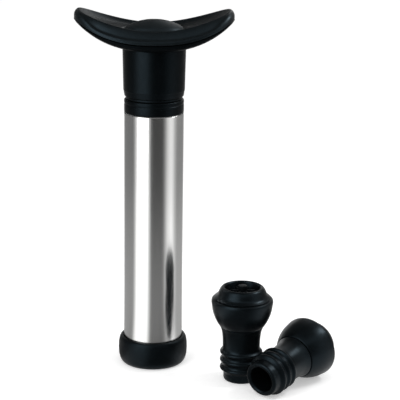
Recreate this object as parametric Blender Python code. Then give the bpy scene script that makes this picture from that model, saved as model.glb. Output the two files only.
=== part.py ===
"""Hand pump that draws the air out of an opened bottle, with two rubber stoppers.

Metres, +Z up. The set stands on Z = 0, and the origin is the middle of its footprint.
The pump stands upright with its handle pushed down. One stopper stands beside it and one lies.
"""
import bmesh
import bpy
from math import atan2, cos, pi, radians, sin, sqrt
from mathutils import Matrix, Vector

# Clearances, the overrun of a cut and the distance at which points on an axis become one
FIT = 0.0003
RUNNING = 0.0004
OVERRUN = 0.0020
MERGE = 0.00001

# Barrel: a steel sleeve over a moulded cylinder
SLEEVE_RADIUS = 0.0155
SLEEVE_WALL = 0.0006
SLEEVE_LENGTH = 0.1286
LINER_WALL = 0.0016

# Rubber foot: a cup with a socket under it that seals on a stopper's crown
FOOT_RADIUS = 0.0183
FOOT_BASE_RADIUS = 0.0152
FOOT_RIM_RADIUS = 0.0164
FOOT_WIDEST_HEIGHT = 0.0077
FOOT_HEIGHT = 0.0146
FOOT_SEAT_HEIGHT = 0.0065
SOCKET_RADIUS = 0.0116
SOCKET_MOUTH_RADIUS = 0.0125
SOCKET_MOUTH_DEPTH = 0.0024

# Nozzle plate that closes the cylinder's lower end, and its seal
NOZZLE_FLANGE = 0.0025
NOZZLE_SPIGOT = 0.0080
NOZZLE_PORT_RADIUS = 0.0025
NOZZLE_FUNNEL_RADIUS = 0.0080
NOZZLE_FUNNEL_DEPTH = 0.0016
SEAL_GROOVE_HEIGHT = 0.0034
SEAL_GROOVE_WIDTH = 0.0022
SEAL_GROOVE_DEPTH = 0.0016

# Collar, rod bush and rubber rings at the barrel's upper end
COLLAR_RADIUS = 0.0154
COLLAR_HEIGHT = 0.0070
COLLAR_SPIGOT = 0.0070
COLLAR_CHAMFER = 0.0007
COLLAR_GROOVE_HEIGHT = 0.0044
COLLAR_GROOVE_WIDTH = 0.0006
COLLAR_GROOVE_DEPTH = 0.0003
BUSH_WALL = 0.0018
BUSH_FLANGE = 0.0016
BUSH_FLANGE_WIDTH = 0.0015
BUFFER_HEIGHT = 0.0024
BUFFER_RADIUS = 0.0112
LANDING_RADIUS = 0.0146
LANDING_HEIGHT = 0.0009
LANDING_WIDTH = 0.0041

# Piston with a floating ring: it seals on the way up and lets air past on the way down
PISTON_REST_GAP = 0.0007
PISTON_FLANGE = 0.0034
PISTON_GROOVE = 0.0055
PISTON_CROWN = 0.0041
PISTON_GROOVE_RADIUS = 0.0096
BYPASS_WIDTH = 0.0030
BYPASS_DEPTH = 0.0020
BYPASS_COUNT = 6
RING_HEIGHT = 0.0037
RING_WIDTH = 0.0024
RING_CHAMFER = 0.0006

# Piston rod: a tube with a threaded insert in each end
ROD_RADIUS = 0.0060
ROD_WALL = 0.0019
INSERT_LENGTH = 0.0150
ROD_WASHER_RADIUS = 0.0056
WASHER_HEIGHT = 0.0010

# Bolts that hold the rod to the piston and to the handle
BOLT_RADIUS = 0.0022
BOLT_HEAD_RADIUS = 0.0042
BOLT_HEAD_HEIGHT = 0.0024
HEX_RADIUS = 0.0016
HEX_DEPTH = 0.0014
PISTON_BOLT_LENGTH = 0.0210
HANDLE_BOLT_LENGTH = 0.0140

# Handle: a neck shell round a ribbed core
NECK_RADIUS = 0.0158
NECK_TOP_RADIUS = 0.01625
NECK_TAPER = 0.0006
NECK_TAPER_HEIGHT = 0.0030
NECK_HEIGHT = 0.0247
NECK_WALL = 0.0022
CORE_BOSS_WALL = 0.0024
CORE_PLATE = 0.0050
CORE_CEILING = 0.0025
CORE_LIFT = 0.0010
CORE_RIB = 0.0016
CORE_RIB_COUNT = 6

# Handle: the outline of the saddle-shaped wing, seen from above, and its heights over its underside
WING_HALF_SPAN = 0.0406
WING_HALF_DEPTH = 0.0240
WING_RISE = 0.0141
EDGE_HEIGHT = 0.0063
EDGE_RISE = 0.0114
CREST_END_INSET = 0.0029
CREST_SIDE_INSET = 0.0045
CREST_HEIGHT = 0.0101
CREST_RISE = 0.0102

# Handle: the soft pad, the hard shell under it and the domed cap in the pad
DISH_DEPTH = 0.0029
PAD_LIP = 0.0014
PAD_EDGE = 0.0026
SHELL_TUCK = 0.0046
SHELL_RECESS = 0.0006
HANDLE_WASHER_RADIUS = 0.0058
DOME_HALF_SPAN = 0.0152
DOME_HALF_DEPTH = 0.0112
DOME_HEIGHT = 0.0141
DOME_FALL = 0.0044
DOME_WALL = 0.0016
DOME_EDGE = 0.0005

# Stopper: a plug with ribs round it, then a plain stem
STOPPER_HEIGHT = 0.0503
PLUG_RADIUS = 0.0091
PLUG_ROUND = 0.0014
PLUG_LENGTH = 0.0045
RIB_RADIUS = 0.0110
RIB_GROOVE_RADIUS = 0.0100
RIB_HALF_WIDTH = 0.0013
FIRST_RIB_HEIGHT = 0.0066
RIB_PITCH = 0.0043
RIB_COUNT = 3
STEM_RADIUS = 0.0096
STEM_LOW_HEIGHT = 0.0180
STEM_SWELL_DROP = 0.0233
STEM_TOP_RADIUS = 0.0110
STEM_TOP_DROP = 0.0203

# Stopper: the mushroom head with creases round its band, and the recess in its crown
CREASE_WIDTH = 0.0007
SWELL_RADIUS = 0.0140
SWELL_DROP = 0.0171
BAND_RADIUS = 0.0159
BAND_LOW_RADIUS = 0.0151
BAND_LOW_DROP = 0.0125
BAND_TOP_DROP = 0.0081
CREASE_RADIUS = 0.0126
CREASE_DROP = 0.0054
CREASE_LIP = 0.0007
CREASE_DEPTH = 0.0004
SHOULDER_RADIUS = 0.0120
CROWN_RADIUS = 0.0100
RECESS_RADIUS = 0.0091
RECESS_FLOOR_RADIUS = 0.0078
RECESS_DEPTH = 0.0078
RECESS_EDGE = 0.0006
BORE_RADIUS = 0.0064
BORE_CEILING = 0.0040
BORE_EDGE = 0.0008

# Ribbed valve insert in a stopper's recess
VALVE_BASE = 0.0014
VALVE_POST_RADIUS = 0.0024
VALVE_POST_HEIGHT = 0.0081
VALVE_FIN_WIDTH = 0.0011
VALVE_FIN_HEIGHT = 0.0058
VALVE_FIN_COUNT = 6

# Places of the stoppers, from the pump's axis
STANDING_X = 0.0458
STANDING_Y = -0.0271
LYING_X = 0.0539
LYING_Y = -0.0540
LYING_HEADING = radians(49)

# Exponents of the wing's curves, and shares of the way across its surfaces
PLAN_POWER = 2.6
EDGE_POWER = 2.4
CREST_POWER = 1.8
FLANK_POWER = 1.5
DISH_POWER = 3.0
DOME_POWER = 2.3
DISH_SHARES = (0.0, 0.3, 0.6, 0.85, 1.0)
FLANK_SHARES = (0.35, 0.7)
SEAT_SHARES = (0.25, 0.5, 0.75)
DOME_SHARES = (0.25, 0.5, 0.75)
TIP_START_SHARE = 0.72
TIP_BLEND_SHARE = 0.2

# Facets round a turned piece, a stopper and the wing, and steps along a bend
SMALL_STEPS = 16
LARGE_STEPS = 32
STOPPER_STEPS = 28
WING_STEPS = 44
CURVE_STEPS = 3
SHARP_ANGLE = radians(35)

# Heights up the pump, each piece standing on the one below it
SLEEVE_Z = FOOT_SEAT_HEIGHT + FIT
SLEEVE_TOP = SLEEVE_Z + SLEEVE_LENGTH
LINER_Z = SLEEVE_Z + NOZZLE_FLANGE + FIT
NOZZLE_TOP = SLEEVE_Z + NOZZLE_FLANGE + NOZZLE_SPIGOT
COLLAR_Z = SLEEVE_TOP + FIT
LANDING_Z = COLLAR_Z + COLLAR_HEIGHT + FIT
NECK_Z = LANDING_Z + LANDING_HEIGHT + FIT
WING_Z = NECK_Z + NECK_HEIGHT + FIT
BUFFER_Z = COLLAR_Z - COLLAR_SPIGOT - FIT - BUFFER_HEIGHT
PISTON_Z = NOZZLE_TOP + PISTON_REST_GAP
PISTON_HEIGHT = PISTON_FLANGE + PISTON_GROOVE + PISTON_CROWN
ROD_WASHER_Z = PISTON_Z + PISTON_HEIGHT + FIT
ROD_Z = ROD_WASHER_Z + WASHER_HEIGHT + FIT
CORE_Z = NECK_Z + CORE_LIFT
CORE_HEIGHT = NECK_HEIGHT - CORE_LIFT
ROD_TOP = CORE_Z + CORE_HEIGHT - CORE_CEILING - FIT
SHELL_FLOOR_Z = WING_Z + EDGE_HEIGHT - PAD_EDGE - FIT - SHELL_RECESS
HANDLE_WASHER_Z = SHELL_FLOOR_Z + FIT
HANDLE_BOLT_Z = HANDLE_WASHER_Z + WASHER_HEIGHT + FIT

# Radii across the pump, each piece inside the one round it
LINER_RADIUS = SLEEVE_RADIUS - SLEEVE_WALL - FIT
CYLINDER_BORE = LINER_RADIUS - LINER_WALL
SPIGOT_RADIUS = CYLINDER_BORE - FIT
PISTON_RADIUS = CYLINDER_BORE - 2 * RUNNING
BUSH_BORE = ROD_RADIUS + RUNNING
BUSH_RADIUS = BUSH_BORE + BUSH_WALL
BUSH_FLANGE_RADIUS = BUSH_RADIUS + BUSH_FLANGE_WIDTH
INSERT_RADIUS = ROD_RADIUS - ROD_WALL - FIT
BOLT_HOLE = BOLT_RADIUS + FIT
NECK_BORE = NECK_RADIUS - NECK_WALL

# Heights on a stopper's head and in it, each taken down from its crown
CREASE_HEIGHT = STOPPER_HEIGHT - CREASE_DROP
BAND_TOP_HEIGHT = STOPPER_HEIGHT - BAND_TOP_DROP
BAND_LOW_HEIGHT = STOPPER_HEIGHT - BAND_LOW_DROP
SWELL_HEIGHT = STOPPER_HEIGHT - SWELL_DROP
STEM_TOP_HEIGHT = STOPPER_HEIGHT - STEM_TOP_DROP
STEM_SWELL_HEIGHT = STOPPER_HEIGHT - STEM_SWELL_DROP
BORE_DEPTH = STOPPER_HEIGHT - RECESS_DEPTH - BORE_CEILING

# Lean of the lying stopper, which rests on its first rib and on the upper edge of its band
LYING_LEAN = atan2(BAND_RADIUS - RIB_RADIUS, BAND_TOP_HEIGHT - FIRST_RIB_HEIGHT)
LYING_Z = RIB_RADIUS * cos(LYING_LEAN) - FIRST_RIB_HEIGHT * sin(LYING_LEAN)


def clear_scene():
    """Removes every object that the file opened with."""
    for found in list(bpy.data.objects):
        bpy.data.objects.remove(found, do_unlink=True)


def finish(name, colour, roughness, metallic=0.0):
    """Makes one plain material."""
    made = bpy.data.materials.new(name)
    made.use_nodes = True
    shader = made.node_tree.nodes["Principled BSDF"]
    shader.inputs["Base Color"].default_value = (*colour, 1.0)
    shader.inputs["Roughness"].default_value = roughness
    shader.inputs["Metallic"].default_value = metallic
    return made


def carrier(name, place, turn=(0.0, 0.0, 0.0)):
    """Adds an empty that carries the pieces that move together, on their joint's axis."""
    made = bpy.data.objects.new(name, None)
    made.location = place
    made.rotation_euler = turn
    bpy.context.scene.collection.objects.link(made)
    return made


def piece(name, bm, look, parent, height=0.0):
    """Makes a bmesh a named piece, at a height up its carrier's axis."""
    bmesh.ops.recalc_face_normals(bm, faces=bm.faces)
    mesh = bpy.data.meshes.new(name)
    bm.to_mesh(mesh)
    bm.free()
    mesh.shade_smooth()
    mesh.set_sharp_from_angle(angle=SHARP_ANGLE)
    mesh.materials.append(look)
    made = bpy.data.objects.new(name, mesh)
    bpy.context.scene.collection.objects.link(made)
    made.parent = parent
    made.location = (0.0, 0.0, height)
    return made


def shape_with(target, name, bm, operation):
    """Cuts a shape out of a piece, or joins it on, with a hidden object at the piece's place."""
    tool = piece(name, bm, target.data.materials[0], target.parent, target.location.z)
    tool.hide_render = True
    tool.display_type = "WIRE"
    change = target.modifiers.new(name, "BOOLEAN")
    change.operation = operation
    change.object = tool
    change.solver = "EXACT"


def turned(outline, steps, closed=True):
    """Spins an outline of (radius, height) points about Z. A solid with no bore starts and ends on it."""
    bm = bmesh.new()
    points = [bm.verts.new((radius, 0.0, height)) for radius, height in outline]
    edges = [bm.edges.new(pair) for pair in zip(points, points[1:])]
    if closed:
        edges.append(bm.edges.new((points[-1], points[0])))
    bmesh.ops.spin(bm, geom=points + edges, cent=(0, 0, 0), axis=(0, 0, 1), angle=2 * pi,
                   steps=steps, use_merge=True, use_duplicate=False)
    bmesh.ops.remove_doubles(bm, verts=bm.verts, dist=MERGE)
    return bm


def tube(inner, outer, height, steps, chamfer=0.0):
    """A plain ring from Z = 0 up, with both outer edges chamfered."""
    outline = [(inner, 0.0), (outer - chamfer, 0.0)]
    if chamfer:
        outline += [(outer, chamfer), (outer, height - chamfer)]
    outline += [(outer - chamfer, height), (inner, height)]
    return turned(outline, steps)


def bend(start, towards, end):
    """Points of a smooth bend from start to end, drawn towards a third point. The start is left out."""
    points = []
    for step in range(1, CURVE_STEPS + 1):
        share = step / CURVE_STEPS
        first = Vector(start).lerp(Vector(towards), share)
        second = Vector(towards).lerp(Vector(end), share)
        points.append(tuple(first.lerp(second, share)))
    return points


def spokes(count, inner, outer, width, low, high):
    """Boxes that stand round the axis like spokes, between two radii and two heights."""
    bm = bmesh.new()
    middle = Vector(((inner + outer) / 2, 0.0, (low + high) / 2))
    for index in range(count):
        turn = Matrix.Rotation(2 * pi * index / count, 4, "Z")
        size = Matrix.Diagonal((outer - inner, width, high - low, 1.0))
        bmesh.ops.create_cube(bm, size=1.0, matrix=turn @ Matrix.Translation(middle) @ size)
    return bm


def hexagon(radius, low, high):
    """A six-sided bar on the axis, for the recess in a bolt's head."""
    bm = bmesh.new()
    place = Matrix.Translation((0.0, 0.0, (low + high) / 2))
    bmesh.ops.create_cone(bm, cap_ends=True, segments=6, radius1=radius, radius2=radius,
                          depth=high - low, matrix=place)
    return bm


def plan_ring(half_span, half_depth, power):
    """Points round a rounded oblong, seen from above. A power of 2 makes it an ellipse."""
    points = []
    for step in range(WING_STEPS):
        angle = 2 * pi * step / WING_STEPS
        across, along = cos(angle), sin(angle)
        x = half_span * abs(across) ** (2 / power) * (1 if across > 0 else -1)
        y = half_depth * abs(along) ** (2 / power) * (1 if along > 0 else -1)
        points.append((x, y))
    return points


def between(first, second, share):
    """The ring a share of the way from one ring to another."""
    return [(ax + (bx - ax) * share, ay + (by - ay) * share) for (ax, ay), (bx, by) in zip(first, second)]


def raised(ring, height):
    """Gives each point of a ring its height, which is a function of its X."""
    return [(x, y, height(x)) for x, y in ring]


def lofted(rings, closed=True):
    """Skins rings in turn. A closed loft joins its last ring to its first, and an open one is capped."""
    bm = bmesh.new()
    loops = [[bm.verts.new(point) for point in ring] for ring in rings]
    bands = list(zip(loops, loops[1:]))
    if closed:
        bands.append((loops[-1], loops[0]))
    for first, second in bands:
        for index in range(len(first)):
            bm.faces.new((first[index - 1], first[index], second[index], second[index - 1]))
    if not closed:
        caps = [bm.faces.new(loops[0]), bm.faces.new(loops[-1])]
        bmesh.ops.poke(bm, faces=caps)
    return bm


def underside(x):
    """Height of the wing's underside over its lowest line."""
    return WING_RISE * (abs(x) / WING_HALF_SPAN) ** EDGE_POWER


def edge(x):
    """Height of the top of the wing's edge."""
    return EDGE_HEIGHT + EDGE_RISE * (abs(x) / WING_HALF_SPAN) ** EDGE_POWER


def crest(x):
    """Height of the crest that runs round the wing's dished top."""
    return CREST_HEIGHT + CREST_RISE * (abs(x) / WING_HALF_SPAN) ** CREST_POWER


def parting(x):
    """Height at which the pad stands on the shell."""
    return edge(x) - PAD_EDGE


def rolled(x, height, share):
    """Height on the wing's outer slope. Towards the tips the flank and its lip become one round roll."""
    tip = (abs(x) / WING_HALF_SPAN - TIP_START_SHARE) / TIP_BLEND_SHARE
    low = edge(x) - PAD_LIP
    roll = low + (crest(x) - low) * sqrt(1 - share ** 2)
    return height + (roll - height) * min(1.0, max(0.0, tip))


def make_foot(look, parent):
    """Rubber foot ring, with the pocket for the barrel and the socket for a stopper."""
    widest = (FOOT_RADIUS, FOOT_WIDEST_HEIGHT)
    rim = (FOOT_RIM_RADIUS, FOOT_HEIGHT)
    pocket = SLEEVE_RADIUS + FIT
    outline = [(SOCKET_MOUTH_RADIUS, 0.0), (FOOT_BASE_RADIUS, 0.0)]
    outline += bend((FOOT_BASE_RADIUS, 0.0), (FOOT_RADIUS, 0.0), widest)
    outline += bend(widest, (FOOT_RADIUS, FOOT_HEIGHT), rim)
    outline += [(pocket, FOOT_HEIGHT), (pocket, FOOT_SEAT_HEIGHT), (SOCKET_RADIUS, FOOT_SEAT_HEIGHT)]
    outline += [(SOCKET_RADIUS, SOCKET_MOUTH_DEPTH)]
    piece("foot_ring", turned(outline, LARGE_STEPS), look, parent)


def make_nozzle(plastic, rubber, parent):
    """Plate with the suction port, plugged into the cylinder, and the seal in its groove."""
    top = NOZZLE_FLANGE + NOZZLE_SPIGOT
    floor = SPIGOT_RADIUS - SEAL_GROOVE_DEPTH
    groove = NOZZLE_FLANGE + SEAL_GROOVE_HEIGHT
    outline = [(NOZZLE_PORT_RADIUS, 0.0), (LINER_RADIUS, 0.0), (LINER_RADIUS, NOZZLE_FLANGE)]
    outline += [(SPIGOT_RADIUS, NOZZLE_FLANGE), (SPIGOT_RADIUS, groove), (floor, groove)]
    outline += [(floor, groove + SEAL_GROOVE_WIDTH), (SPIGOT_RADIUS, groove + SEAL_GROOVE_WIDTH)]
    outline += [(SPIGOT_RADIUS, top), (NOZZLE_FUNNEL_RADIUS, top)]
    outline += [(NOZZLE_PORT_RADIUS, top - NOZZLE_FUNNEL_DEPTH)]
    piece("nozzle_plate", turned(outline, LARGE_STEPS), plastic, parent, SLEEVE_Z)
    thickness = SEAL_GROOVE_WIDTH - 2 * FIT
    ring = tube(floor + FIT, SPIGOT_RADIUS, thickness, LARGE_STEPS, FIT)
    piece("nozzle_seal", ring, rubber, parent, SLEEVE_Z + groove + FIT)


def make_barrel(steel, plastic, parent):
    """Steel sleeve and the moulded cylinder inside it, which stands on the nozzle plate."""
    sleeve = tube(SLEEVE_RADIUS - SLEEVE_WALL, SLEEVE_RADIUS, SLEEVE_LENGTH, LARGE_STEPS)
    piece("steel_sleeve", sleeve, steel, parent, SLEEVE_Z)
    liner = tube(CYLINDER_BORE, LINER_RADIUS, SLEEVE_TOP - LINER_Z, LARGE_STEPS)
    piece("cylinder_liner", liner, plastic, parent, LINER_Z)


def make_collar(plastic, bush_look, rubber, parent):
    """Collar plugged into the cylinder, the rod's bush in it, the buffer under it and the ring on it."""
    seat = BUSH_RADIUS + FIT
    shoulder = BUSH_FLANGE_RADIUS + FIT
    ledge = COLLAR_HEIGHT - BUSH_FLANGE - FIT
    outline = [(seat, -COLLAR_SPIGOT), (SPIGOT_RADIUS, -COLLAR_SPIGOT), (SPIGOT_RADIUS, 0.0)]
    outline += [(COLLAR_RADIUS - COLLAR_CHAMFER, 0.0), (COLLAR_RADIUS, COLLAR_CHAMFER)]
    outline += [(COLLAR_RADIUS, COLLAR_GROOVE_HEIGHT)]
    outline += [(COLLAR_RADIUS - COLLAR_GROOVE_DEPTH, COLLAR_GROOVE_HEIGHT + COLLAR_GROOVE_WIDTH / 2)]
    outline += [(COLLAR_RADIUS, COLLAR_GROOVE_HEIGHT + COLLAR_GROOVE_WIDTH)]
    outline += [(COLLAR_RADIUS, COLLAR_HEIGHT - COLLAR_CHAMFER)]
    outline += [(COLLAR_RADIUS - COLLAR_CHAMFER, COLLAR_HEIGHT), (shoulder, COLLAR_HEIGHT)]
    outline += [(shoulder, ledge), (seat, ledge)]
    piece("top_collar", turned(outline, LARGE_STEPS), plastic, parent, COLLAR_Z)
    flange = COLLAR_HEIGHT - BUSH_FLANGE
    outline = [(BUSH_BORE, -COLLAR_SPIGOT), (BUSH_RADIUS, -COLLAR_SPIGOT), (BUSH_RADIUS, flange)]
    outline += [(BUSH_FLANGE_RADIUS, flange), (BUSH_FLANGE_RADIUS, COLLAR_HEIGHT), (BUSH_BORE, COLLAR_HEIGHT)]
    piece("rod_bush", turned(outline, SMALL_STEPS), bush_look, parent, COLLAR_Z)
    buffer = tube(BUSH_BORE + FIT, BUFFER_RADIUS, BUFFER_HEIGHT, SMALL_STEPS, COLLAR_CHAMFER)
    piece("stroke_buffer", buffer, rubber, parent, BUFFER_Z)
    landing = tube(LANDING_RADIUS - LANDING_WIDTH, LANDING_RADIUS, LANDING_HEIGHT, LARGE_STEPS, FIT)
    piece("landing_ring", landing, rubber, parent, LANDING_Z)


def make_piston(look, parent):
    """Piston with its ring groove, its bolt's counterbore and the slots that let air past the ring."""
    counterbore = BOLT_HEAD_HEIGHT + 2 * FIT
    groove_top = PISTON_FLANGE + PISTON_GROOVE
    outline = [(BOLT_HEAD_RADIUS + FIT, 0.0), (PISTON_RADIUS, 0.0), (PISTON_RADIUS, PISTON_FLANGE)]
    outline += [(PISTON_GROOVE_RADIUS, PISTON_FLANGE), (PISTON_GROOVE_RADIUS, groove_top)]
    outline += [(PISTON_RADIUS, groove_top), (PISTON_RADIUS, PISTON_HEIGHT), (BOLT_HOLE, PISTON_HEIGHT)]
    outline += [(BOLT_HOLE, counterbore), (BOLT_HEAD_RADIUS + FIT, counterbore)]
    made = piece("piston", turned(outline, LARGE_STEPS), look, parent, PISTON_Z)
    slots = spokes(BYPASS_COUNT, PISTON_RADIUS - BYPASS_DEPTH, PISTON_RADIUS + OVERRUN, BYPASS_WIDTH,
                   groove_top - FIT, PISTON_HEIGHT + OVERRUN)
    shape_with(made, "bypass_slots", slots, "DIFFERENCE")


def make_piston_ring(look, parent):
    """Floating rubber ring, seated on the groove's lower flange."""
    ring = tube(SPIGOT_RADIUS - RING_WIDTH, SPIGOT_RADIUS, RING_HEIGHT, LARGE_STEPS, RING_CHAMFER)
    piece("piston_ring", ring, look, parent, PISTON_Z + PISTON_FLANGE + FIT)


def make_bolt(name, length, look, parent, height, downwards):
    """Bolt with a hexagonal recess. Z = 0 is where its head and its shank meet."""
    way = 1 if downwards else -1
    head = BOLT_HEAD_HEIGHT * way
    outline = [(0.0, -length * way), (BOLT_RADIUS, -length * way), (BOLT_RADIUS, 0.0)]
    outline += [(BOLT_HEAD_RADIUS, 0.0), (BOLT_HEAD_RADIUS, head), (0.0, head)]
    made = piece(name, turned(outline, SMALL_STEPS, closed=False), look, parent, height)
    ends = sorted((head - HEX_DEPTH * way, head + OVERRUN * way))
    shape_with(made, name + "_recess", hexagon(HEX_RADIUS, *ends), "DIFFERENCE")


def make_rod(steel, brass, parent):
    """Piston rod, its inserts, the bolt up through the piston and the washer between the two."""
    rod = tube(ROD_RADIUS - ROD_WALL, ROD_RADIUS, ROD_TOP - ROD_Z, SMALL_STEPS)
    piece("piston_rod", rod, steel, parent, ROD_Z)
    for name, height in (("lower_rod_insert", ROD_Z), ("upper_rod_insert", ROD_TOP - INSERT_LENGTH)):
        piece(name, tube(BOLT_HOLE, INSERT_RADIUS, INSERT_LENGTH, SMALL_STEPS, FIT), brass, parent, height)
    washer = tube(BOLT_HOLE, ROD_WASHER_RADIUS, WASHER_HEIGHT, SMALL_STEPS)
    piece("rod_washer", washer, steel, parent, ROD_WASHER_Z)
    make_bolt("piston_bolt", PISTON_BOLT_LENGTH, steel, parent, PISTON_Z + FIT + BOLT_HEAD_HEIGHT, False)


def make_core(look, parent):
    """Moulded core of the handle: a boss for the rod, a plate on top and ribs between them."""
    plate_low = CORE_HEIGHT - CORE_PLATE
    ceiling = CORE_HEIGHT - CORE_CEILING
    seat = ROD_RADIUS + FIT
    boss = seat + CORE_BOSS_WALL
    rim = NECK_BORE - FIT
    outline = [(seat, 0.0), (boss, 0.0), (boss, plate_low), (rim, plate_low), (rim, CORE_HEIGHT)]
    outline += [(BOLT_HOLE, CORE_HEIGHT), (BOLT_HOLE, ceiling), (seat, ceiling)]
    made = piece("handle_core", turned(outline, LARGE_STEPS), look, parent, CORE_Z)
    ribs = spokes(CORE_RIB_COUNT, boss - CORE_BOSS_WALL / 2, rim - CORE_RIB / 2, CORE_RIB,
                  CORE_RIB, plate_low + CORE_PLATE / 2)
    shape_with(made, "core_ribs", ribs, "UNION")


def make_neck(look, parent):
    """Neck shell, whose upper end follows the wing's underside."""
    outline = [(NECK_BORE, 0.0), (NECK_RADIUS - NECK_TAPER, 0.0), (NECK_RADIUS, NECK_TAPER_HEIGHT)]
    outline += [(NECK_TOP_RADIUS, NECK_HEIGHT), (NECK_BORE, NECK_HEIGHT)]
    bm = turned(outline, LARGE_STEPS)
    for vert in bm.verts:
        if vert.co.z > NECK_HEIGHT - FIT:
            vert.co.z += underside(vert.co.x)
    piece("neck_shell", bm, look, parent, NECK_Z)


def wing_rings():
    """The rings seen from above that the wing's pieces share: the dome's hole and the wing's outline."""
    hole = plan_ring(DOME_HALF_SPAN + FIT, DOME_HALF_DEPTH + FIT, 2)
    outer = plan_ring(WING_HALF_SPAN, WING_HALF_DEPTH, PLAN_POWER)
    return hole, outer


def make_wing_shell(look, parent):
    """Hard shell of the wing, with the bolt's hole and a flat seat for its washer."""
    dome_hole, outer = wing_rings()
    tucked = plan_ring(WING_HALF_SPAN - SHELL_TUCK, WING_HALF_DEPTH - SHELL_TUCK, PLAN_POWER)
    hole = plan_ring(BOLT_HOLE, BOLT_HOLE, 2)
    seat = plan_ring(HANDLE_WASHER_RADIUS + FIT, HANDLE_WASHER_RADIUS + FIT, 2)
    neck = plan_ring(NECK_TOP_RADIUS, NECK_TOP_RADIUS, 2)

    def top(x):
        return parting(x) - FIT

    def floor(x):
        return SHELL_FLOOR_Z - WING_Z

    rings = [raised(hole, underside), raised(hole, floor), raised(seat, floor), raised(seat, top)]
    rings.append(raised(dome_hole, top))
    rings += [raised(between(dome_hole, outer, share), top) for share in SEAT_SHARES]
    rings.append(raised(outer, top))
    for step in range(1, CURVE_STEPS + 1):
        angle = pi / 2 * step / CURVE_STEPS
        ring = between(outer, tucked, 1 - cos(angle))
        rings.append(raised(ring, lambda x, a=angle: top(x) + (underside(x) - top(x)) * sin(a)))
    rings += [raised(between(tucked, neck, share), underside) for share in SEAT_SHARES]
    rings += [raised(neck, underside), raised(between(neck, hole, SEAT_SHARES[1]), underside)]
    piece("wing_shell", lofted(rings), look, parent, WING_Z)


def make_palm_pad(look, parent):
    """Soft pad of the wing: a crest round two finger dishes, a flank and a rounded lip."""
    hole, outer = wing_rings()
    ridge = plan_ring(WING_HALF_SPAN - CREST_END_INSET, WING_HALF_DEPTH - CREST_SIDE_INSET, PLAN_POWER)
    brow = plan_ring(WING_HALF_SPAN - PAD_LIP, WING_HALF_DEPTH - PAD_LIP, PLAN_POWER)
    brow_share = 1 - PAD_LIP / CREST_END_INSET
    rings = [raised(hole, parting)]
    for share in DISH_SHARES:
        depth = DISH_DEPTH * (1 - share ** DISH_POWER)
        rings.append(raised(between(hole, ridge, share), lambda x, d=depth: crest(x) - d))
    for share in FLANK_SHARES:

        def flank(x, drop=share ** FLANK_POWER, along=share * brow_share):
            return rolled(x, crest(x) + (edge(x) - crest(x)) * drop, along)

        rings.append(raised(between(ridge, brow, share), flank))
    for step in range(CURVE_STEPS + 1):
        angle = pi / 2 * step / CURVE_STEPS

        def lip(x, drop=1 - cos(angle), along=brow_share + (1 - brow_share) * sin(angle)):
            return rolled(x, edge(x) - PAD_LIP * drop, along)

        rings.append(raised(between(brow, outer, sin(angle)), lip))
    rings.append(raised(outer, parting))
    rings += [raised(between(outer, hole, share), parting) for share in SEAT_SHARES]
    piece("palm_pad", lofted(rings), look, parent, WING_Z)


def make_dome(look, parent):
    """Domed cap in the pad's middle, hollow underneath over the bolt's head."""
    plan = plan_ring(DOME_HALF_SPAN, DOME_HALF_DEPTH, 2)
    inside = plan_ring(DOME_HALF_SPAN - DOME_WALL, DOME_HALF_DEPTH - DOME_WALL, 2)
    inset = between(plan, inside, DOME_EDGE / DOME_WALL)
    middle = [(0.0, 0.0)] * WING_STEPS

    def dome(share, drop):
        height = DOME_HEIGHT - DOME_FALL * share ** DOME_POWER - drop
        return lambda x: height

    rings = [raised(between(middle, plan, share), dome(share, 0.0)) for share in DOME_SHARES]
    rings += [raised(inset, dome(1.0, 0.0)), raised(plan, dome(1.0, DOME_EDGE))]
    rings += [raised(plan, parting), raised(inside, parting), raised(inside, dome(1.0, DOME_WALL))]
    for share in reversed(DOME_SHARES):
        rings.append(raised(between(middle, inside, share), dome(share, DOME_WALL)))
    piece("dome_cap", lofted(rings, closed=False), look, parent, WING_Z)


def make_handle_fasteners(steel, parent):
    """Washer on the shell's seat, and the bolt down through the shell and the core into the rod."""
    washer = tube(BOLT_HOLE, HANDLE_WASHER_RADIUS, WASHER_HEIGHT, SMALL_STEPS)
    piece("handle_washer", washer, steel, parent, HANDLE_WASHER_Z)
    make_bolt("handle_bolt", HANDLE_BOLT_LENGTH, steel, parent, HANDLE_BOLT_Z, True)


def head_outline():
    """Half outline of a stopper's head, from the recess's floor over the crown to the stem's top."""
    floor = STOPPER_HEIGHT - RECESS_DEPTH
    crown = (CROWN_RADIUS, STOPPER_HEIGHT)
    crease = (CREASE_RADIUS, CREASE_HEIGHT)
    lip = (CREASE_RADIUS + CREASE_LIP, CREASE_HEIGHT - CREASE_WIDTH)
    band_top = (BAND_RADIUS, BAND_TOP_HEIGHT)
    band_low = (BAND_LOW_RADIUS, BAND_LOW_HEIGHT)
    underneath = (STEM_TOP_RADIUS + CREASE_LIP, STEM_TOP_HEIGHT + CREASE_WIDTH)
    outline = [(0.0, floor), (RECESS_FLOOR_RADIUS, floor), (RECESS_RADIUS, STOPPER_HEIGHT - RECESS_EDGE)]
    outline += [(RECESS_RADIUS + RECESS_EDGE, STOPPER_HEIGHT), crown]
    outline += bend(crown, (SHOULDER_RADIUS, STOPPER_HEIGHT), crease)
    outline += [(CREASE_RADIUS - CREASE_DEPTH, CREASE_HEIGHT - CREASE_WIDTH), lip]
    outline += bend(lip, (BAND_RADIUS - CREASE_LIP, (CREASE_HEIGHT + BAND_TOP_HEIGHT) / 2), band_top)
    outline.append(band_low)
    outline += bend(band_low, (SWELL_RADIUS, SWELL_HEIGHT), underneath)
    outline += [(STEM_TOP_RADIUS - CREASE_DEPTH, underneath[1]), (STEM_TOP_RADIUS, STEM_TOP_HEIGHT)]
    return outline


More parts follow.
